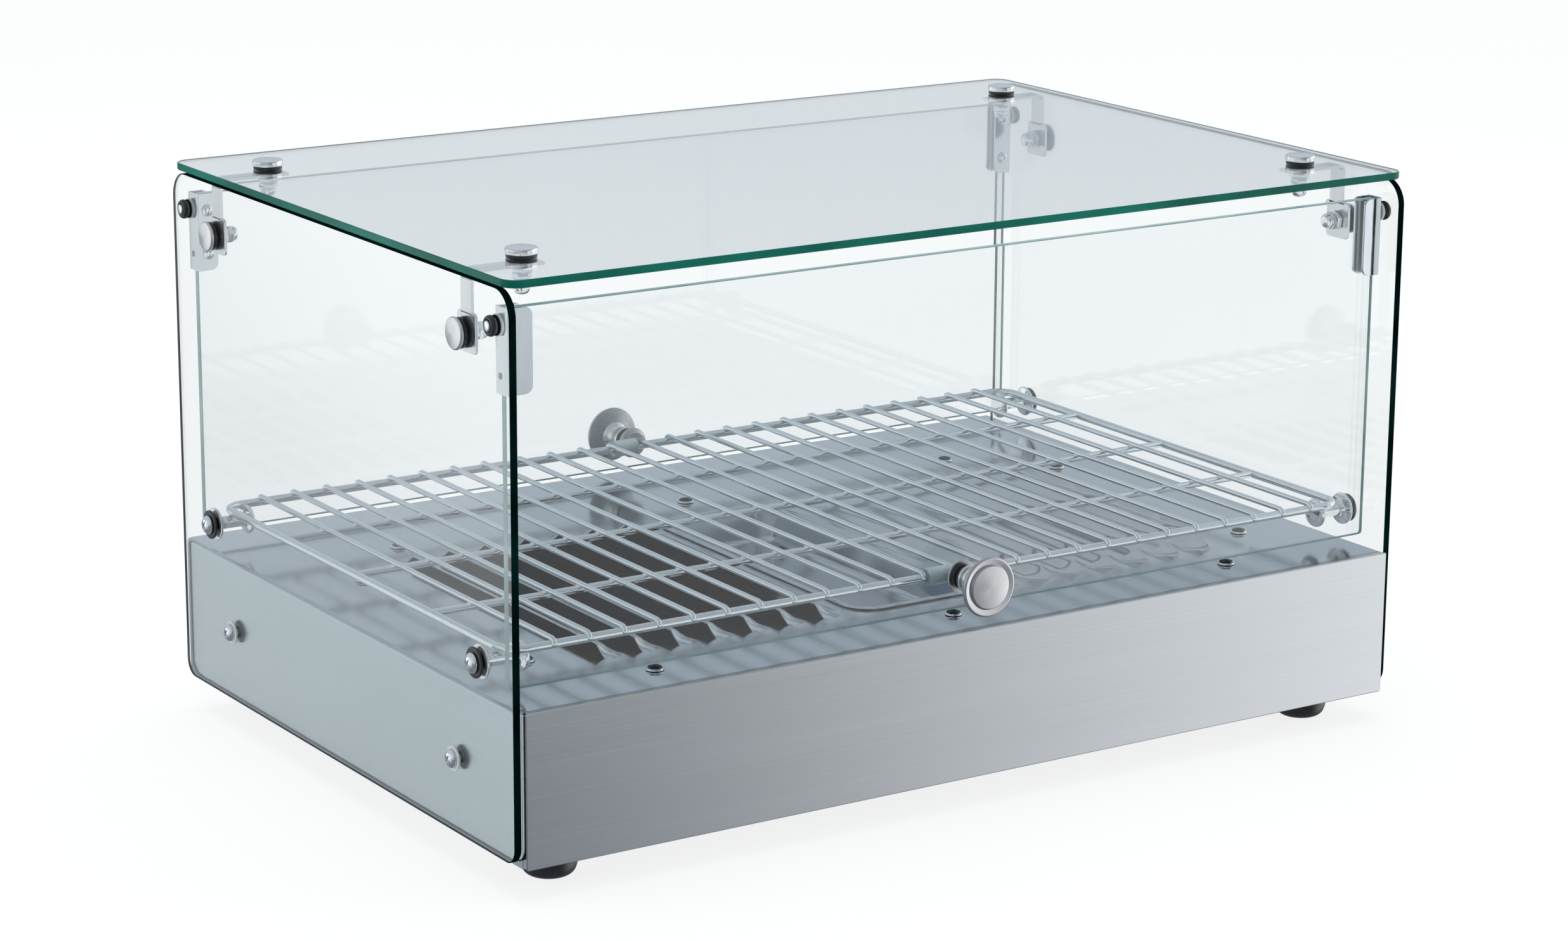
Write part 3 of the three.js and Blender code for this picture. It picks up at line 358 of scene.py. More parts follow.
class Piece:
    """One visible object put together from closed shapes, all in millimetres."""

    def __init__(self, name):
        self.name = name
        self.bm = bmesh.new()
        self.materials = []

    def index(self, material):
        if material not in self.materials:
            self.materials.append(material)
        return self.materials.index(material)

    def faces(self, rings, material, loop=False, closed_ring=True):
        """Quads between rings of equal count; a ring of one vertex is a pole."""
        made = []
        pairs = list(zip(rings, rings[1:])) + ([(rings[-1], rings[0])] if loop else [])
        for low, high in pairs:
            count = max(len(low), len(high))
            for i in range(count if closed_ring else count - 1):
                j = (i + 1) % count
                corners = [low[i % len(low)], low[j % len(low)], high[j % len(high)], high[i % len(high)]]
                corners = [v for k, v in enumerate(corners) if v is not corners[k - 1]]
                if len(corners) > 2:
                    made.append(self.bm.faces.new(corners))
        return self.paint(made, material)

    def paint(self, faces, material):
        for face in faces:
            face.material_index = self.index(material)
        return faces

    def fill(self, ring, material):
        return self.paint([self.bm.faces.new(ring)], material)[0]

    def outward(self, made):
        bmesh.ops.recalc_face_normals(self.bm, faces=made)

    def ring(self, points):
        return [self.bm.verts.new(Vector(p) * MM) for p in points]

    def lathe(self, profile, origin, axis, material, segments=40, turn=0.0):
        """A turned shape. The profile ends on the axis, or closes on itself."""
        origin, axis = Vector(origin), Vector(axis).normalized()
        spin = Z.rotation_difference(axis)
        side, up = spin @ X, spin @ Y
        loop = math.dist(profile[0], profile[-1]) < 1e-6
        rings = []
        for r, h in profile[:-1] if loop else profile:
            centre = origin + axis * h
            if r < 1e-6:
                rings.append(self.ring([centre]))
                continue
            angles = [turn + 2 * math.pi * i / segments for i in range(segments)]
            rings.append(self.ring([centre + (side * math.cos(t) + up * math.sin(t)) * r for t in angles]))
        self.outward(self.faces(rings, material, loop))

    def tube(self, points, radius, material, segments=12, closed=False, rounded=True):
        """A round wire along points, with rounded ends."""
        points = [Vector(p) for p in points]
        count = len(points)
        normal = None
        rings = []
        for i, point in enumerate(points):
            before = points[i - 1] if closed or i else None
            after = points[(i + 1) % count] if closed or i < count - 1 else None
            a = (point - before).normalized() if before is not None else (after - point).normalized()
            b = (after - point).normalized() if after is not None else a
            along = (a + b).normalized()
            if normal is None:
                normal = along.orthogonal().normalized()
                if abs(along.z) < 0.9:
                    normal = along.cross(Z).normalized()
            normal = (normal - along * normal.dot(along)).normalized()
            other = along.cross(normal)
            widen = 1 / max(0.5, along.dot(b))
            bend = (b - a)
            bend = bend.normalized() if bend.length > 1e-6 else None
            row = []
            for k in range(segments):
                t = 2 * math.pi * k / segments
                spoke = (normal * math.cos(t) + other * math.sin(t)) * radius
                if bend is not None:
                    spoke += bend * spoke.dot(bend) * (widen - 1)
                row.append(point + spoke)
            if not closed and rounded and i in (0, count - 1):
                out = -along if i == 0 else along
                caps = []
                for share in (0.5, 0.87):
                    caps.append([point + (p - point) * math.sqrt(1 - share * share) + out * radius * share
                                 for p in row])
                tip = [point + out * radius]
                order = [tip, caps[1], caps[0], row] if i == 0 else [row, caps[0], caps[1], tip]
                rings.extend(self.ring(r) for r in order)
            else:
                rings.append(self.ring(row))
        made = self.faces(rings, material, closed)
        if not closed and not rounded:
            made += [self.fill(rings[0], material), self.fill(rings[-1], material)]
        self.outward(made)

    def plate(self, outer, holes, low, high, place, material, edge=None, chamfer=0.3):
        """A flat sheet with chamfered rims. place(u, v, w) puts outline and thickness in space."""
        edge = edge or material
        loops = [outer] + [hole[::-1] for hole in holes]
        made, caps = [], ([], [])
        for loop in loops:
            pulled = inset(loop, chamfer)
            levels = [(pulled, low), (loop, low + chamfer), (loop, high - chamfer), (pulled, high)]
            rings = [self.ring([place(u, v, w) for u, v in points]) for points, w in levels]
            made += self.faces(rings, edge)
            caps[0].append(rings[0])
            caps[1].append(rings[-1])
        for rings in caps:
            flat = [v for ring in rings for v in ring]
            corners = [[Vector((u, v, 0)) for u, v in inset(loop, chamfer)] for loop in loops]
            for triangle in tessellate_polygon(corners):
                made.append(self.fill([flat[i] for i in triangle], material))
        self.outward(made)

    def block(self, low, high, material, bevel=0.3, steps=2):
        """A box with rounded edges."""
        size = [b - a for a, b in zip(low, high)]
        middle = [(a + b) / 2 for a, b in zip(low, high)]
        made = bmesh.ops.create_cube(self.bm, size=MM)
        verts = made["verts"]
        bmesh.ops.scale(self.bm, vec=size, verts=verts)
        bmesh.ops.translate(self.bm, vec=Vector(middle) * MM, verts=verts)
        edges = list({e for v in verts for e in v.link_edges})
        faces = {f for v in verts for f in v.link_faces}
        if bevel:
            out = bmesh.ops.bevel(self.bm, geom=edges, offset=bevel * MM, segments=steps, affect="EDGES",
                                  profile=0.5)
            faces = {f for f in faces if f.is_valid} | set(out["faces"])
            faces |= {f for v in out["verts"] for f in v.link_faces}
        self.paint(faces, material)

    def loft(self, rows, material):
        """A skin through rows of points, its two ends filled."""
        rings = [self.ring(row) for row in rows]
        made = self.faces(rings, material)
        self.outward(made + [self.fill(rings[0], material), self.fill(rings[-1], material)])

    def stamp(self, mesh, matrix, material):
        """Adds a copy of a template mesh."""
        before = set(self.bm.faces)
        verts = set(self.bm.verts)
        self.bm.from_mesh(mesh)
        new = [v for v in self.bm.verts if v not in verts]
        bmesh.ops.transform(self.bm, matrix=matrix, verts=new)
        self.paint([face for face in self.bm.faces if face not in before], material)

    def mesh(self):
        mesh = bpy.data.meshes.new(self.name)
        self.bm.to_mesh(mesh)
        self.bm.free()
        return mesh

    def done(self, body, slot, *replaces, sharp=32):
        mesh = self.mesh()
        for material in self.materials:
            mesh.materials.append(material)
        mesh.polygons.foreach_set("use_smooth", [True] * len(mesh.polygons))
        mesh.set_sharp_from_angle(angle=math.radians(sharp))
        made = in_scene(self.name, mesh)
        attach(made, body)
        if replaces:
            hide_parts(*replaces)


def on_axis(origin, axis, turn=0.0):
    """Places a template that stands on +Z at a point, along an axis."""
    return (Matrix.Translation(Vector(origin) * MM)
            @ Z.rotation_difference(Vector(axis).normalized()).to_matrix().to_4x4()
            @ Matrix.Rotation(turn, 4, "Z"))


def phillips_head(radius, height, recess):
    """Pan head with a cross recess, standing on z = 0."""
    head = Piece("head")
    head.lathe(softened([(0, 0), (radius, 0), (radius * 0.97, height * 0.45), (radius * 0.62, height * 0.93),
                         (0, height)], height * 0.3, 4), (0, 0, 0), Z, CHROME, 32)
    cross = Piece("cross")
    arm, half = radius * 0.56, radius * 0.13

    def plus(a, b):
        return [(b, a), (-b, a), (-b, b), (-a, b), (-a, -b), (-b, -b), (-b, -a), (b, -a), (b, -b), (a, -b),
                (a, b), (b, b)]
    cross.loft([[(u, v, z) for u, v in plus(a, b)] for a, b, z in
                ((arm * 0.45, half * 0.6, height - recess), (arm, half, height * 1.15))], PAINTED_DARK_METAL)
    body, tool = [in_scene(piece.name, piece.mesh()) for piece in (head, cross)]
    cutter = body.modifiers.new("cross", "BOOLEAN")
    cutter.operation, cutter.object, cutter.solver = "DIFFERENCE", tool, "EXACT"
    bpy.context.view_layer.update()
    result = bpy.data.meshes.new_from_object(body.evaluated_get(bpy.context.evaluated_depsgraph_get()))
    for item in (body, tool):
        bpy.data.objects.remove(item)
    return result


BASE_HEAD = phillips_head(4.9, 3.0, 2.0)
PEG_HEAD = phillips_head(5.3, 3.4, 2.3)
CLIP_HEAD = phillips_head(3.3, 2.0, 1.4)


def finish_node(name, material, bevel):
    """Gives a CAD node that stays its finish, with softened edges."""
    node = nodes[name]
    node.data.materials.clear()
    node.data.materials.append(material)
    node.data.polygons.foreach_set("material_index", [0] * len(node.data.polygons))
    if bevel:
        soft = node.modifiers.new("edges", "BEVEL")
        soft.width = bevel * MM
        soft.segments = 2
        soft.limit_method = "ANGLE"
        soft.angle_limit = math.radians(35)


# ------------------------------------------------------------------ glass

def in_xy(u, v, w):
    return (u, v, w)


def in_xz(u, v, w):
    return (u, w, v)


def in_yz(u, v, w):
    return (w, u, v)


def glass_panes():
    top = Piece("top_glass_pane")
    top.plate(rounded_rect(-SIDE_OUT, SIDE_OUT, -GLASS_HALF_Y, GLASS_HALF_Y, 9, 10),
              [circle(sx * BOLT_X, sy * BOLT_Y, 3.2) for _, _, sx, sy in CORNERS],
              TOP_BOTTOM, TOP_TOP, in_xy, GLASS_CLEAR, EDGE_GREEN, 0.45)
    top.done("cabinet", "clear_glass", "top_glass")
    for side, sx in (("left", -1), ("right", 1)):
        pane = Piece(side + "_side_pane")
        low, high = sorted((sx * SIDE_IN, sx * SIDE_OUT))
        holes = [circle(sy * y, z, r, 20) for sy in (-1, 1) for y, z, r in (
            (DOOR_Y, PIVOT_Z, 4.6), (BOLT_Y, SIDE_BOLT_Z, 2.9), (PEG_Y, PEG_Z, 2.9),
            (BASE_SCREW_Y, BASE_SCREW_Z, 2.6))]
        # The side-pane edges take the near-black copy of the glass edge: painted shade.
        pane.plate(rounded_rect(-GLASS_HALF_Y, GLASS_HALF_Y, SIDE_BOTTOM, SIDE_TOP, (9, 9, 14, 14), 12),
                   holes, low, high, in_yz, GLASS_CLEAR, EDGE_PAINTED_SHADE, 0.45)
        pane.done("cabinet", "clear_glass", side + "_side_glass")
    for end, sy in (("front", -1), ("rear", 1)):
        door = Piece(end + "_door_pane")
        # The door edges take the pale copy of the glass edge: painted light.
        door.plate(rounded_rect(-DOOR_HALF, DOOR_HALF, DOOR_BOTTOM, DOOR_TOP, 2, 4),
                   [circle(0, RACK_Z, 3.4, 20)], sy * DOOR_Y - 2, sy * DOOR_Y + 2, in_xz, GLASS_CLEAR,
                   EDGE_PAINTED_LIGHT, 0.4)
        door.done(end + "_door", "clear_glass", end + "_door_glass")


# ------------------------------------------------------------------ base

def deck_screws():
    spots = [(x, PATTERN_Y + sy * 133.5) for sy in (-1, 1) for x in (-182, 0, 182)]
    return spots + [(sx * 229, PATTERN_Y + sy * 85) for sy in (-1, 1) for sx in (-1, 1)]


def mirrored(points):
    return [(-x, y) for x, y in reversed(points)]


def casing():
    """Deck with its cut-outs, and the two bends and side walls folded from it."""
    bend = 2.4
    flat = WALL_OUT - bend
    deck = Piece("deck_sheet")
    holes = [rounded_rect(-PAN_X + 3, PAN_X - 3, PATTERN_Y - PAN_Y + 3, PATTERN_Y + PAN_Y - 3, 14)]
    for i in range(LOUVRE_COUNT):
        x = LOUVRE_FIRST + i * LOUVRE_PITCH
        slot = rounded_rect(x - 12.6, x + 0.3, PATTERN_Y - 103.5, PATTERN_Y + 103.5, 0.6, 2)
        holes += [slot, mirrored(slot)]
    holes += [circle(x, y, 2.7, 16) for x, y in deck_screws()]
    deck.plate([(-flat, CASING_FRONT), (flat, CASING_FRONT), (flat, CASING_REAR), (-flat, CASING_REAR)],
               holes, DECK - SHEET, DECK, in_xy, POLISHED, None, 0.02)
    deck.done("cabinet", "polished_sheet", "base_casing")
    for side, sx in (("left", -1), ("right", 1)):
        wall = Piece(side + "_casing_wall_painted_shade")
        outer = [(flat, DECK)] + [(flat + bend * math.sin(math.radians(a)), DECK - bend + bend * math.cos(
            math.radians(a))) for a in range(15, 91, 15)] + [(WALL_OUT, BASE_BOTTOM)]
        thin = bend - SHEET
        inner = [(WALL_OUT - SHEET, BASE_BOTTOM)] + [(flat + thin * math.sin(math.radians(a)),
                 DECK - bend + thin * math.cos(math.radians(a))) for a in range(90, 14, -15)]
        inner.append((flat, DECK - SHEET))
        section = [(sx * x, z) for x, z in outer + inner]
        # The walls take the darker copy of the deck steel: painted shade.
        wall.loft([[(x, y, z) for x, z in section] for y in (CASING_FRONT, CASING_REAR)], SHADED_WALL_STEEL)
        wall.done("cabinet", "polished_sheet")


def louvre(piece, x0, facing):
    """A pressed hood whose mouth stands over x0 and faces -X (facing = -1) or +X."""
    height, width, thick = 6.5, 15.6, 0.9
    fall = 12.0                  # length over which each end comes down to the deck
    ease = [fall * (1 - math.cos(math.pi / 2 * i / 14)) for i in range(15)]
    stations = [t - LOUVRE_HALF for t in ease] + [LOUVRE_HALF - t for t in reversed(ease)]
    across = [i / 14 for i in range(15)]

    def rise(t, u):
        inside = min(1.0, (LOUVRE_HALF - abs(t)) / (fall * (0.85 + 0.5 * u)))
        return inside ** (1.15 + 1.5 * u) * (1 - 0.25 * (1 - inside) * inside)

    def section(u):
        return 0.35 * (1 - u) + 0.65 * 0.5 * (1 + math.cos(math.pi * u))

    def skin(drop, floor):
        rows = []
        for t in stations:
            row = []
            for u in across:
                z = max(height * rise(t, u) * section(u) - drop, floor)
                row.append((x0 - facing * width * u, PATTERN_Y + t, DECK + z))
            rows.append(piece.ring(row))
        return rows
    upper, lower = skin(0.0, 0.02), skin(thick, -0.9)
    # The hood's underside is the same pressed sheet, drawn near-black: painted shade under the hood.
    made = piece.faces(upper, POLISHED, closed_ring=False) + piece.faces(lower, PAINTED_SHADE_SHEET, closed_ring=False)
    # The mouth's cut edge takes the pale lip steel: painted highlight along the lip.
    made += piece.faces([[r[0] for r in upper], [r[0] for r in lower]], LIP_PAINTED_HIGHLIGHT, closed_ring=False)
    foot_line = [[r[-1] for r in rows] for rows in (upper, lower)]
    for pair in ([upper[0], lower[0]], [upper[-1], lower[-1]], foot_line):
        made += piece.faces(pair, POLISHED, closed_ring=False)
    piece.outward(made)


def louvres():
    for side, facing in (("left", -1), ("right", 1)):
        piece = Piece(side + "_louvres")
        for i in range(LOUVRE_COUNT):
            louvre(piece, facing * (LOUVRE_FIRST + i * LOUVRE_PITCH), facing)
        piece.done("cabinet", "polished_sheet", sharp=40)


def folded_panel(name, node, half, z0, z1, face, towards, holes=()):
    """Front or rear panel: a sheet with returned edges behind a rounded fold."""
    piece = Piece(name)
    low, high = sorted((face, face + towards * SHEET))
    piece.plate(rounded_rect(-half, half, z0, z1, 1.2, 4), holes, low, high, in_xz, BRUSHED, None, 0.5)
    lip = sorted((face + towards * 0.7, face + towards * 4.0))
    reach, end = half - 1.6, half - SHEET
    for x0, x1, a, b in ((-half, -end, z0 + 1.0, z1 - 1.0), (end, half, z0 + 1.0, z1 - 1.0),
                         (-reach, reach, z0, z0 + SHEET), (-reach, reach, z1 - SHEET, z1)):
        piece.block((x0, lip[0], a), (x1, lip[1], b), BRUSHED, 0.15, 1)
    piece.done("cabinet", "brushed_sheet", node)


def panels():
    folded_panel("front_fascia", "front_panel", WALL_OUT, BASE_BOTTOM, DECK, FRONT_FACE, 1)
    holes = [rounded_rect(SWITCH_X - 14.4, SWITCH_X + 14.4, CONTROL_Z - 10.4, CONTROL_Z + 10.4, 0.8, 3),
             circle(LAMP_X, CONTROL_Z, 5.3), circle(THERMOSTAT_X, CONTROL_Z, 5.8),
             circle(GLAND_X, CONTROL_Z, 8.3)]
    folded_panel("rear_fascia", "rear_panel", REAR_HALF, BASE_BOTTOM + 1.6, DECK - 1.6, REAR_FACE, -1, holes)


def heater():
    """Tray, elements, brackets and domed deck screws."""
    # The heater tray is drawn near-black: painted shade inside the base.
    finish_node("heater_tray", PAINTED_SHADE_SHEET, 0.0)
    finish_node("bottom_plate", ZINC, 0.2)
    for side, sx in (("left", -1), ("right", 1)):
        finish_node(side + "_element_bracket", ZINC, 0.15)
        inner, outer, front, end, z = 85.0, 170.0, -140.0, 118.0, ELEMENT_Z
        turn = (outer - inner) / 2
        path = [(inner, end, z)]
        path += [(inner + turn * (1 + math.cos(a)), front + turn * (1 + math.sin(a)), z)
                 for a in (math.pi * (1 + i / 20) for i in range(21))]
        path += [(outer, end, z)]
        piece = Piece(side + "_element")
        piece.tube([(sx * x, y, z) for x, y, z in path], 3.2, SHEATH, 14, rounded=False)
        for x in (inner, outer):
            piece.lathe(softened([(0, 0), (2, 0), (2, 6), (0.9, 6.4), (0.9, 12), (0, 12)], 0.3),
                        (sx * x, end - 0.5, z), Y, CHROME, 16)
        piece.done("cabinet", "element_sheath", side + "_heating_element")
    screws = Piece("deck_screw_heads")
    # Each head is a near-black dome inside a chrome ring: the dark top is a painted reflection and the
    # chrome rim a painted highlight.
    dome = softened([(0, 0.25), (3.9, 0.25), (4.0, 1.2), (3.2, 1.7), (0, 2.1)], 0.5, 4)
    rim = softened([(3.8, 0.25), (4.6, 0.25), (4.6, 0.7), (4.2, 1.25), (3.8, 1.2), (3.8, 0.25)], 0.25)
    for x, y in deck_screws():
        screws.lathe(dome, (x, y, DECK), Z, PAINTED_DARK_METAL, 28)
        screws.lathe(rim, (x, y, DECK), Z, CHROME, 36)
    screws.done("cabinet", "bright_chrome")


def water_pan():
    """Drop-in pan: rolled rim, rounded corners, shallow well."""
    def ring(dx, dy, r, z):
        return [(u, v, z) for u, v in rounded_rect(-PAN_X + dx, PAN_X - dx, PATTERN_Y - PAN_Y + dy,
                                                   PATTERN_Y + PAN_Y - dy, r, 8)]
    base = DECK + GAP
    rows = [(0.3, 16, 0.0), (0.0, 16, 0.5), (0.3, 16, 1.1), (0.9, 15.5, 1.25), (3.4, 13.5, 1.1),
            (4.4, 12.7, 0.5), (4.9, 12.3, -1.0), (6.4, 10.6, -16.0), (7.4, 9.6, -18.6), (9.4, 8.0, -19.4),
            (22, 4.0, -19.6)]
    under = [(22, 4.0, -20.3), (9.2, 8.2, -20.3), (6.9, 10.2, -19.2), (5.8, 11.2, -16.0), (4.1, 12.8, -1.2),
             (3.6, 13.2, 0.0)]
    piece = Piece("water_pan_shell")
    top = [piece.ring(ring(d, d, r, base + z)) for d, r, z in rows]
    low = [piece.ring(ring(d, d, r, base + z)) for d, r, z in under]
    made = piece.faces(top, POLISHED) + piece.faces(low, POLISHED) + piece.faces([low[-1], top[0]], POLISHED)
    made += [piece.fill(top[-1], POLISHED), piece.fill(low[0], POLISHED)]
    piece.outward(made)
    piece.done("pan", "polished_sheet", "water_pan", sharp=50)


def foot(end, side, sx, sy):
    piece = Piece(f"{end}_{side}_rubber_foot")
    top = FOOT_HEIGHT - 0.35
    piece.lathe(softened([(0, 0.0), (9.6, 0.0), (12.9, 2.0), (14.4, 6.0), (14.4, 12.0), (13.6, 13.4),
                          (13.2, top), (0, top)], 2.2, 5), (sx * FOOT_X, sy * FOOT_Y, 0), Z, RUBBER, 56)
    nut = FOOT_HEIGHT + SHEET + GAP
    piece.lathe(softened(rod(4.6, nut, nut + 3.5), 0.3), (sx * FOOT_X, sy * FOOT_Y, 0), Z, ZINC, 6)
    piece.done("cabinet", "black_rubber", f"{end}_{side}_foot")


# ------------------------------------------------------------------ hardware on the glass

def glass_bolt(name, at, axis, cap, acorn, turned):
    """Capped bolt through a pane: cap, rubber washers, stud, hexagon nut and acorn nut."""
    crown = 1.6 + cap
    seat = 1.65 if cap > 3 else 2.3
    chrome = Piece(name + "_cap")
    chrome.lathe(softened([(0, seat), (7.9, seat), (8.2, seat + 0.4), (8.2, crown - 0.7),
                           (7.7, crown - 0.05), (0, crown + 0.15)], 0.5, 4), at, axis, turned, 64)
    chrome.lathe(rod(2.5, -10, seat), at, axis, STRAP, 20)
    top = -GLASS - STRAP_DROP - STRAP_THICK - GAP

    def hexagon(radius, start, turn):
        flat, end = radius - 0.7, start - 3.0
        chrome.lathe(softened([(0, start), (flat, start), (radius, start - 0.5), (radius, end + 0.5),
                               (flat, end), (0, end)], 0.05, 1), at, axis, CHROME, 6, turn)
    hexagon(5.6, top, 0.2)
    hexagon(5.0, top - 3.2, 0.7)
    low = top - 6.1
    end = top - 4 - acorn
    dome = [(0, low), (4.2, low), (4.1, (low + end) / 2), (2.9, end + 0.7), (0, end)]
    chrome.lathe(softened(dome, 1.4, 5), at, axis, CHROME, 32)
    chrome.done("cabinet", "bright_chrome", name + "_bolt")
    rings = Piece(name + "_washers")
    rings.lathe(washer(3.3, 7.7, 0.06, seat - 0.05, 0.35), at, axis, RUBBER, 48)
    rings.lathe(washer(2.9, 7.7, -GLASS - 0.06, -GLASS - 1.7, 0.35), at, axis, RUBBER, 48)
    rings.lathe(washer(2.6, 3.1, -GLASS - 0.05, 0.05), at, axis, RUBBER, 28)
    rings.done("cabinet", "black_rubber")


def corner_strap(end, side, sx, sy):
    """Strap under the top glass, bent down to the side bolt plate."""
    thick, outer, top, inner = STRAP_THICK, SIDE_IN - STRAP_DROP, TOP_BOTTOM - STRAP_DROP, BOLT_X - 10
    turn = 3.0

    def profile(out):
        r = turn - out
        arc = [(outer - turn + r * math.sin(math.radians(a)), top - turn + r * math.cos(math.radians(a)))
               for a in range(0, 91, 15)]
        return [(inner, top - out)] + arc + [(outer - out, SIDE_BOLT_Z + 9)]
    section = profile(0) + list(reversed(profile(thick)))
    piece = Piece(f"{end}_{side}_strap")
    piece.loft([[(sx * x, sy * BOLT_Y + y, z) for x, z in section] for y in (-5.25, 5.25)], STRAP)
    low, high = sorted((sx * (outer - thick), sx * outer))
    y = sy * BOLT_Y
    plate = rounded_rect(y - 9, y + 9, SIDE_BOLT_Z - 10, SIDE_BOLT_Z + 10, 2.2, 4)
    piece.plate(plate, [circle(y, SIDE_BOLT_Z, 3.0, 20)], low, high, in_yz, STRAP, None, 0.2)
    piece.done("cabinet", "polished_sheet", f"{end}_{side}_corner_bracket")


def shelf_peg(end, side, sx, sy):
    at, axis = (sx * SIDE_OUT, sy * PEG_Y, PEG_Z), (sx, 0, 0)
    piece = Piece(f"{end}_{side}_peg")
    piece.lathe(softened([(0, -26.2), (5.4, -26.0), (7.6, -25.2), (8.0, -24.2), (7.8, -22.9), (4.2, -22.6),
                          (3.5, -21.4), (3.5, -8.2), (4.4, -6.4), (8.6, -5.8), (9.0, -5.2), (8.8, -4.35),
                          (0, -4.35)], 0.6, 3), at, axis, CHROME, 44)
    piece.lathe(rod(2.6, -4.4, 1.3), at, axis, STRAP, 18)
    piece.stamp(PEG_HEAD, on_axis((at[0] + sx * 1.45, at[1], at[2]), axis, 0.5 + sx), CHROME)
    piece.done("cabinet", "bright_chrome", f"{end}_{side}_shelf_peg")
    ring = Piece(f"{end}_{side}_peg_washer")
    ring.lathe(washer(3, 7.9, 0.06, 1.3, 0.4), at, axis, RUBBER, 40)
    ring.done("cabinet", "black_rubber")


def base_screw(end, side, sx, sy):
    at, axis = (sx * SIDE_OUT, sy * BASE_SCREW_Y, BASE_SCREW_Z), (sx, 0, 0)
    piece = Piece(f"{end}_{side}_wall_screw")
    piece.stamp(BASE_HEAD, on_axis((at[0] + sx * 1.25, at[1], at[2]), axis, 0.2 + sx * 0.7), CHROME)
    piece.lathe(rod(2.2, -12, 1.25), at, axis, STRAP, 16)
    nut = [(0, -6.4), (4.4, -6.4), (4.6, -6.8), (4.6, -10), (4.4, -10.3), (0, -10.3)]
    piece.lathe(softened(nut, 0.05, 1), at, axis, ZINC, 6)
    piece.lathe(washer(2.4, 6.4, 0.06, 1.2, 0.3), at, axis, COLLAR, 36)
    piece.done("cabinet", "bright_chrome", f"{end}_{side}_base_screw")


def hinge_bush(end, side, sx, sy):
    """Black ring outside the glass and a pale flanged liner through it."""
    at, axis = (sx * SIDE_OUT, sy * DOOR_Y, PIVOT_Z), (sx, 0, 0)
    ring = Piece(f"{end}_{side}_bush_ring")
    ring.lathe(softened([(2.95, 0.3), (5.2, 0.3), (5.25, 1.6), (4.7, 2.7), (3.7, 2.9), (2.95, 2.6),
                         (2.95, 0.3)], 0.7, 4), at, axis, RUBBER, 48)
    ring.done("cabinet", "black_rubber", f"{end}_{side}_hinge_bush")
    liner = Piece(f"{end}_{side}_bush_liner")
    liner.lathe(softened([(2.4, -5.7), (5.5, -5.7), (5.5, -4.2), (4.3, -4.15), (4.3, 0.2), (2.4, 0.2),
                          (2.4, -5.7)], 0.3), at, axis, COLLAR, 40)
    liner.done("cabinet", "clear_plastic")


def hinge_clip(end, side, sx, sy):
    """U channel on the door edge, with pads, two screws and the pivot pin; its spare hole is a near-black
    disc on the web, painted shade.
    """
    half, web = 5.5, DOOR_HALF + 0.4
    outer = web + SHEET
    free = outer - 12.3
    low, high = DOOR_TOP - 42, DOOR_TOP + 0.4
    body = end + "_door"
    piece = Piece(f"{end}_{side}_clip")
    y0 = sy * DOOR_Y
    for leg in (-1, 1):
        shape = rounded_rect(free, outer - 1.0, low, high, (4.2, 0.05, 0.05, 4.2), 8)
        if sx < 0:
            shape = mirrored(shape)
        a, b = sorted((y0 + leg * half, y0 + leg * (half - SHEET)))
        piece.plate(shape, [], a, b, in_xz, CLIP, None, 0.22)
    bend = 1.9
    rows = []
    for z in (low, high):
        row = []
        for radius in (bend, bend - SHEET):
            arc = []
            for leg in (-1, 1):
                turn = [(outer - bend + radius * math.sin(math.radians(t)),
                         leg * (half - bend + radius * math.cos(math.radians(t)))) for t in range(0, 91, 15)]
                arc += turn if leg < 0 else list(reversed(turn))
            row += arc if radius == bend else list(reversed(arc))
        rows.append([(sx * u, y0 + v, z) for u, v in row])
    piece.loft(rows, CLIP)
    for leg in (-1, 1):
        a, b = sorted((y0 + leg * 2.1, y0 + leg * (half - SHEET - 0.02)))
        x0, x1 = sorted((sx * (free + 1.6), sx * (web - 1.0)))
        piece.block((x0, a, low + 1.5), (x1, b, high - 1.5), COLLAR, 0.3)
    for share in (0.22, 0.78):
        at = (sx * (free + 5.8), y0 - sy * half, low + share * (high - low))
        piece.stamp(CLIP_HEAD, on_axis(at, (0, -sy, 0), share * 3 + sx), CHROME)
    piece.lathe(softened([(0, -0.5), (2.0, -0.5), (2.0, 9.4), (2.75, 9.5), (2.75, 10.9), (2.2, 11.25),
                          (0, 11.35)], 0.3, 4),
                (sx * web, y0, PIVOT_Z), (sx, 0, 0), CHROME, 28)
    # The spare hole is not cut: a thin near-black disc on the web paints its shade.
    piece.lathe(softened(rod(1.7, -0.1, 0.18), 0.05), (sx * outer, y0, low + 9), (sx, 0, 0), PAINTED_DARK_METAL, 20)
    piece.done(body, "bright_chrome", f"{end}_{side}_hinge_clip")


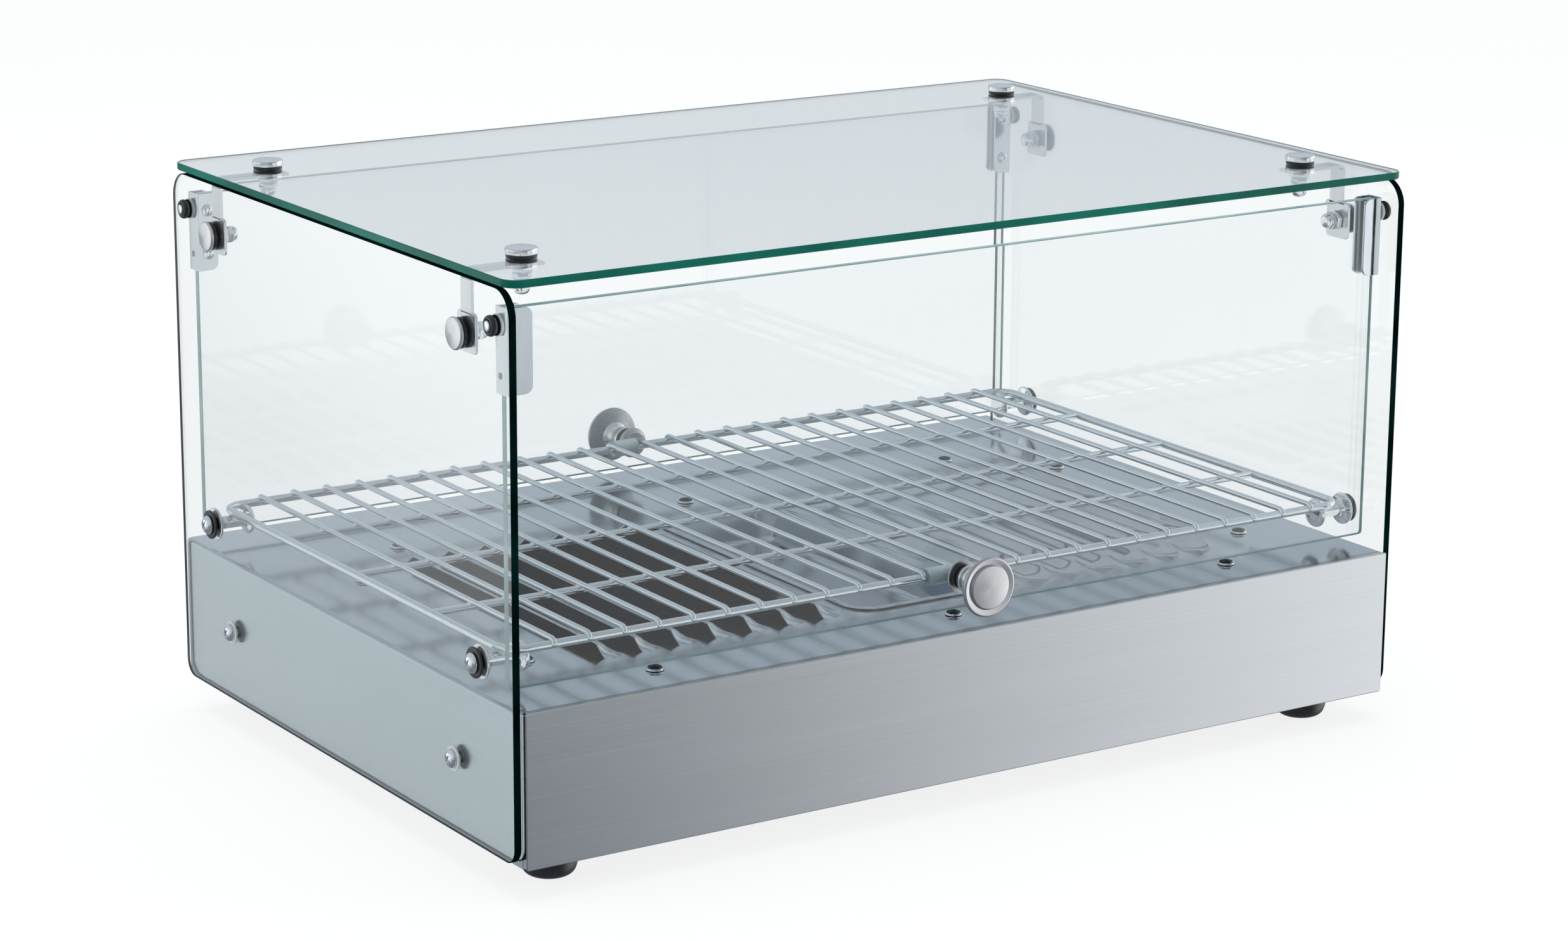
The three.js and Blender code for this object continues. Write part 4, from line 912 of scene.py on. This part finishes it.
def door_knob(end, sy):
    """Flared knob with a turned face groove, neck, rubber rings, and the cap inside."""
    at, axis = (0, sy * (DOOR_Y + 2), RACK_Z), (0, sy, 0)
    body = end + "_door"
    disc = Piece(end + "_knob_disc")
    disc.lathe(softened([(0, 14.5), (7.6, 14.9), (13.4, 17.2), (15.8, 18.3), (16.0, 19.2), (15.7, 20.0),
                         (15.0, 20.3), (12.3, 19.9), (12.0, 19.9), (11.7, 20.9), (11.2, 21.2), (0, 22.0)],
                        0.3, 4), at, axis, TURNED_Y, 96)
    disc.done(body, "turned_steel", end + "_door_knob")
    neck = Piece(end + "_knob_neck")
    collar = [(0, 1.9), (7.6, 1.9), (7.7, 3.3), (6.2, 3.9), (5.6, 4.6), (5.6, 5.4), (0, 5.4)]
    neck.lathe(softened(collar, 0.5, 4), at, axis, CHROME, 56)
    brass = [(0, 5.2), (5.5, 5.2), (6.2, 6.0), (6.2, 7.4), (5.5, 8.2), (0, 8.2)]
    neck.lathe(softened(brass, 0.5, 4), at, axis, BRASSY, 56)
    waist = [(0, 8.0), (6.6, 8.1), (7.0, 8.8), (5.9, 10.0), (5.2, 11.4), (6.0, 13.2), (8.4, 15.2), (0, 15.6)]
    neck.lathe(softened(waist, 0.8, 4), at, axis, CHROME, 56)
    neck.lathe(rod(3, -5, 2), at, axis, STRAP, 20)
    neck.lathe(softened([(0, -8.85), (6.6, -8.5), (8.4, -7.6), (8.9, -6.4), (8.4, -6.0), (8.4, -5.6),
                         (8.9, -5.3), (0, -5.3)], 0.4, 4), at, axis, TURNED_Y, 48)
    neck.done(body, "turned_steel")
    rings = Piece(end + "_knob_rings")
    rings.lathe(washer(3.4, 7.2, 0.06, 1.85, 0.5), at, axis, RUBBER, 44)
    rings.lathe(washer(3.4, 6.4, -4.06, -5.25, 0.4), at, axis, RUBBER, 44)
    rings.done(body, "black_rubber")


# ------------------------------------------------------------------ rack

def rack():
    piece = Piece("rack_wires")
    loop = [(u, v, RACK_Z) for u, v in rounded_rect(-RACK_HALF_X, RACK_HALF_X, -RACK_HALF_Y, RACK_HALF_Y,
                                                    RACK_CORNER, 8)]
    piece.tube(loop, FRAME_R, WIRE, 16, closed=True)
    rows = (-LONG_PITCH, 0, LONG_PITCH)
    weld = softened([(0, -0.2), (2.6, 0.1), (2.3, 1.4), (0, 1.9)], 0.6)
    for y in rows:
        piece.tube([(x, y, RACK_Z) for x in (-RACK_HALF_X + 1.2, RACK_HALF_X - 1.2)], LONG_R, WIRE, 14)
    top = RACK_Z + FRAME_R + CROSS_R - 0.9
    for i in range(CROSS_COUNT):
        x = (i - (CROSS_COUNT - 1) / 2) * CROSS_PITCH
        end = RACK_HALF_Y + 0.6
        path = [(x, -end - 1.3, top - 2.3), (x, -end - 0.6, top - 0.7), (x, -end + 1.2, top)]
        path += [(x, end - 1.2, top), (x, end + 0.6, top - 0.7), (x, end + 1.3, top - 2.3)]
        piece.tube(path, CROSS_R, WIRE, 12)
        for y in rows:
            piece.lathe(weld, (x, y, RACK_Z + 1.0), Z, WIRE, 12)
    piece.done("rack", "bright_chrome", "wire_rack", sharp=60)
    for end, sy in (("front", -1), ("rear", 1)):
        sleeve = Piece(end + "_sleeve")
        sleeve.lathe(softened([(2.4, -7.6), (4.4, -7.6), (4.75, -7.0), (4.75, 7.0), (4.4, 7.6), (2.4, 7.6),
                               (2.4, -7.6)], 0.5),
                     (-CROSS_PITCH / 2, sy * RACK_HALF_Y, RACK_Z), X, SLEEVE, 36)
        sleeve.done("rack", "clear_plastic", end + "_bumper_sleeve")


# ------------------------------------------------------------------ controls

def controls():
    finish_node("switch_housing", PLASTIC, 0.4)
    finish_node("terminal_block", CERAMIC, 0.3)
    loom = Piece("lead_bundle")
    route = [(-119, 138, 11.5), (-98, 138, 13.5), (-60, 140, 21.5), (0, 141, 24.5), (60, 140, 27.5),
             (96, 140, 35.5), (SWITCH_X, 147, 40), (SWITCH_X, REAR_FACE - 25, 40)]
    path = [(x, y, BASE_BOTTOM + up) for x, y, up in route]
    dense = []
    for a, b in zip(path, path[1:]):
        dense += [tuple(Vector(a).lerp(Vector(b), t / 6)) for t in range(6)]
    dense.append(path[-1])
    for i in range(3):
        t = 2 * math.pi * i / 3
        loom.tube([(x, y + 1.35 * math.cos(t + x * 0.03), z + 1.35 * math.sin(t + x * 0.03))
                   for x, y, z in dense], 1.2, JACKET, 8)
    loom.done("cabinet", "wire_jacket", "wiring_loom", sharp=60)

    rocker = Piece("rocker_cap")
    tilt = math.radians(-8)
    shape = [(-3.5, -5.5), (4.3, -7.9), (3.3, -4.0), (3.0, 0), (3.3, 4.0), (4.3, 7.9), (-3.5, 5.5)]

    def tilted(out, up):
        return (REAR_FACE + out * math.cos(tilt) - up * math.sin(tilt),
                CONTROL_Z + out * math.sin(tilt) + up * math.cos(tilt))
    rocker.plate([tilted(*point) for point in shape], [], SWITCH_X - 12, SWITCH_X + 12, in_yz, PLASTIC, None,
                 0.35)
    face, mark = 3.75, 5.0       # of the rocker's face and of its two marks from the pivot
    y, z = tilted(face, mark)
    rocker.block((SWITCH_X - 0.5, y - 0.35, z - 1.9), (SWITCH_X + 0.5, y + 0.12, z + 1.9), MARK, 0.1, 1)
    lean = tilt - 0.25
    rocker.lathe(washer(1.2, 1.9, -0.4, 0.1), (SWITCH_X, *tilted(face, -mark)),
                 (0, math.cos(lean), math.sin(lean)), MARK, 24)
    rocker.done("rocker", "black_plastic", "switch_rocker")

    pilot = Piece("lamp_lens_cap")
    at = (LAMP_X, REAR_FACE, CONTROL_Z)
    lens = [(0, -20), (4.5, -20), (4.5, 0.35), (5.4, 0.35), (5.4, 3.6), (3.4, 4.9), (0, 5.2)]
    pilot.lathe(softened(lens, 0.8, 4), at, Y, LENS, 36)
    pilot.lathe(softened([(4.6, 0.35), (7, 0.35), (7, 1.4), (6.2, 2.2), (5.5, 2.3), (5.5, 0.9), (4.6, 0.9),
                          (4.6, 0.35)], 0.3), at, Y, PLASTIC, 40)
    pilot.done("cabinet", "amber_lens", "pilot_lamp")

    case = Piece("thermostat_case")
    at = (THERMOSTAT_X, REAR_FACE, CONTROL_Z)
    case.lathe(softened([(3.4, -26), (16.4, -26), (17, -25.2), (17, -5.6), (16.4, -5), (5.2, -5), (5.2, 2.6),
                         (3.4, 2.6), (3.4, -26)], 0.6), at, Y, ZINC, 48)
    case.lathe(washer(5.3, 8, 0.35, 1.9), at, Y, ZINC, 6)
    case.done("cabinet", "zinc_sheet", "thermostat_body")

    dial = Piece("thermostat_dial")
    dial.lathe(softened([(0, -24), (2.7, -24), (2.7, 3.3), (18, 3.3), (18.5, 4.2), (17.0, 5.0), (16.2, 6.0),
                         (15.4, 11.0), (14.4, 11.9), (9, 12.0), (0, 11.9)], 0.6, 4), at, Y, PLASTIC, 64)
    rib = softened([(0, 5.4), (0.75, 5.4), (0.6, 10.6), (0, 10.9)], 0.3, 2)
    for x, z in circle(at[0], at[2], 16.0, 24):
        dial.lathe(rib, (x, at[1], z), Y, PLASTIC, 8)
    dial.block((at[0] - 0.6, at[1] + 11.75, at[2] + 5.5), (at[0] + 0.6, at[1] + 12.0, at[2] + 14.0), MARK,
               0.05, 1)
    dial.done("dial", "black_plastic", "thermostat_knob")

    gland = Piece("gland_body")
    at = (GLAND_X, REAR_FACE, CONTROL_Z)
    gland.lathe(softened([(4, -14), (10.4, -14), (10.4, -9), (7.8, -8), (7.8, 0.4), (9.0, 0.5), (9.0, 5.2),
                          (8.4, 9.2), (6.6, 10.8), (4, 10.9), (4, -14)], 0.6, 3), at, Y, PLASTIC, 40)
    gland.lathe(washer(8.6, 11, 0.35, 4.9, 0.3, 2), at, Y, PLASTIC, 6)
    gland.lathe(washer(8, 10.9, -8.6, -5, 0.3, 2), at, Y, PLASTIC, 6)
    gland.done("cabinet", "black_plastic", "cable_gland")


# ------------------------------------------------------------------ stage

def stage():
    floor = in_scene("floor", bpy.data.meshes.new("floor"))
    reach = 30.0
    corners = [(-reach, -reach, 0), (reach, -reach, 0), (reach, reach, 0), (-reach, reach, 0)]
    floor.data.from_pydata(corners, [], [(0, 1, 2, 3)])
    n = Nodes("floor_white")
    tone = n.ramp(n.noise(0.8), [(0.3, (0.155, 0.16, 0.16)), (0.7, (0.17, 0.175, 0.175))])
    shader = n.add("BsdfPrincipled", Base_Color=tone, Roughness=0.9, Specular_IOR_Level=0.1,
                   Emission_Color=(1, 1, 1, 1), Emission_Strength=0.84)
    floor.data.materials.append(n.close(shader.outputs[0]))
    floor.visible_glossy = False

    camera = in_scene("camera", bpy.data.cameras.new("camera"))
    place = Vector((-1.1813, -1.8064, 0.6998))
    az, el, roll = 0.57868, 0.2521, 0.0064
    forward = Vector((math.sin(az) * math.cos(el), math.cos(az) * math.cos(el), -math.sin(el)))
    right = forward.cross(Z).normalized()
    up = right.cross(forward)
    across = right * math.cos(roll) + up * math.sin(roll)
    above = up * math.cos(roll) - right * math.sin(roll)
    facing = Matrix((across, above, -forward)).transposed().to_4x4()
    camera.matrix_world = Matrix.Translation(place) @ facing
    camera.data.lens = 92.94
    camera.data.shift_y = -0.006
    camera.data.clip_end = 200
    bpy.context.scene.camera = camera


def lamp(name, at, target, size, power):
    """A soft lamp that metal and glass don't mirror."""
    light = in_scene(name, bpy.data.lights.new(name, "AREA"))
    light.data.shape = "RECTANGLE"
    light.data.size, light.data.size_y = size
    light.data.energy = power
    light.location = at
    light.rotation_euler = (Vector(target) - Vector(at)).to_track_quat("-Z", "Y").to_euler()
    light.visible_glossy = False
    light.visible_transmission = False


def lights():
    """A soft tent: pale overhead and at the sides, grey low down and behind the viewer."""
    world = bpy.data.worlds.new("tent")
    bpy.context.scene.world = world
    n = Nodes("tent", world, "OutputWorld")
    toward = n.coords.outputs["Generated"]
    split = n.add("SeparateXYZ", **{"0": toward})
    height = n.add("MapRange", Value=split.outputs["Z"], From_Min=-1, From_Max=1).outputs["Result"]
    stops = [(0.0, (0.20, 0.22, 0.25)), (0.42, (0.24, 0.27, 0.31)), (0.54, (0.50, 0.56, 0.61)),
             (0.66, (0.58, 0.65, 0.71)), (0.78, (0.56, 0.61, 0.66)), (1.0, (0.5, 0.5, 0.5))]
    result = n.ramp(height, stops)
    # each panel: direction, inner and outer half angle in degrees, colour
    for direction, inner, outer, color in (
            ((0.10, -0.97, 0.05), 12, 62, (0.16, 0.18, 0.21)),
            ((0.42, -0.90, 0.0), 12, 19, (0.90, 0.93, 0.95)),
            ((-0.95, 0.30, 0.02), 14, 38, (0.9, 0.93, 0.95)),
            ((0.98, -0.10, 0.12), 16, 44, (1.3, 1.3, 1.3)),
            ((-0.50, 0.84, -0.18), 8, 30, (0.42, 0.47, 0.50)),
            ((-0.62, 0.78, -0.05), 13.5, 17, (1.3, 1.32, 1.33)),
            ((0.87, -0.42, -0.25), 16, 34, (1.80, 1.80, 1.82)),
            ((0.0, 0.20, 0.98), 10, 28, (0.60, 0.64, 0.68))):
        near = n.add("VectorMath", {"operation": "DOT_PRODUCT"},
                     **{"0": toward, "1": Vector(direction).normalized()})
        angle = n.add("Math", {"operation": "ARCCOSINE"}, **{"0": near.outputs["Value"]})
        weight = n.add("MapRange", Value=angle.outputs[0], From_Min=math.radians(outer),
                       From_Max=math.radians(inner))
        over = n.add("MixRGB", Fac=weight.outputs["Result"], Color1=result, Color2=(*color, 1))
        result = over.outputs[0]
    tent, plain = n.add("Background", Color=result), n.add("Background", Color=(1, 1, 1, 1))
    seen = n.add("LightPath").outputs["Is Camera Ray"]
    n.close(n.add("MixShader", **{"0": seen, "1": tent.outputs[0], "2": plain.outputs[0]}).outputs[0])
    lamp("overhead", (0.0, 0.3, 2.6), (0, 0, 0), (2.6, 2.6), 40)
    lamp("left_rear", (-2.6, 1.6, 1.2), (0, 0, 0.15), (1.6, 1.6), 12)
    lamp("right_front", (2.6, -2.2, 1.4), (0, 0, 0.1), (1.2, 1.6), 14)
    bpy.context.scene.view_settings.view_transform = "Standard"


# ------------------------------------------------------------------ put together

glass_panes()
casing()
louvres()
panels()
heater()
water_pan()
rack()
controls()
for end, side, sx, sy in CORNERS:
    foot(end, side, sx, sy)
    glass_bolt(f"{end}_{side}_top", (sx * BOLT_X, sy * BOLT_Y, TOP_TOP), Z, 3.4, 7.0, CHROME)
    glass_bolt(f"{end}_{side}_side", (sx * SIDE_OUT, sy * BOLT_Y, SIDE_BOLT_Z), (sx, 0, 0), 2.6, 6.0,
               TURNED_X)
    corner_strap(end, side, sx, sy)
    shelf_peg(end, side, sx, sy)
    base_screw(end, side, sx, sy)
    hinge_bush(end, side, sx, sy)
    hinge_clip(end, side, sx, sy)
for end, sy in (("front", -1), ("rear", 1)):
    door_knob(end, sy)
stage()
lights()
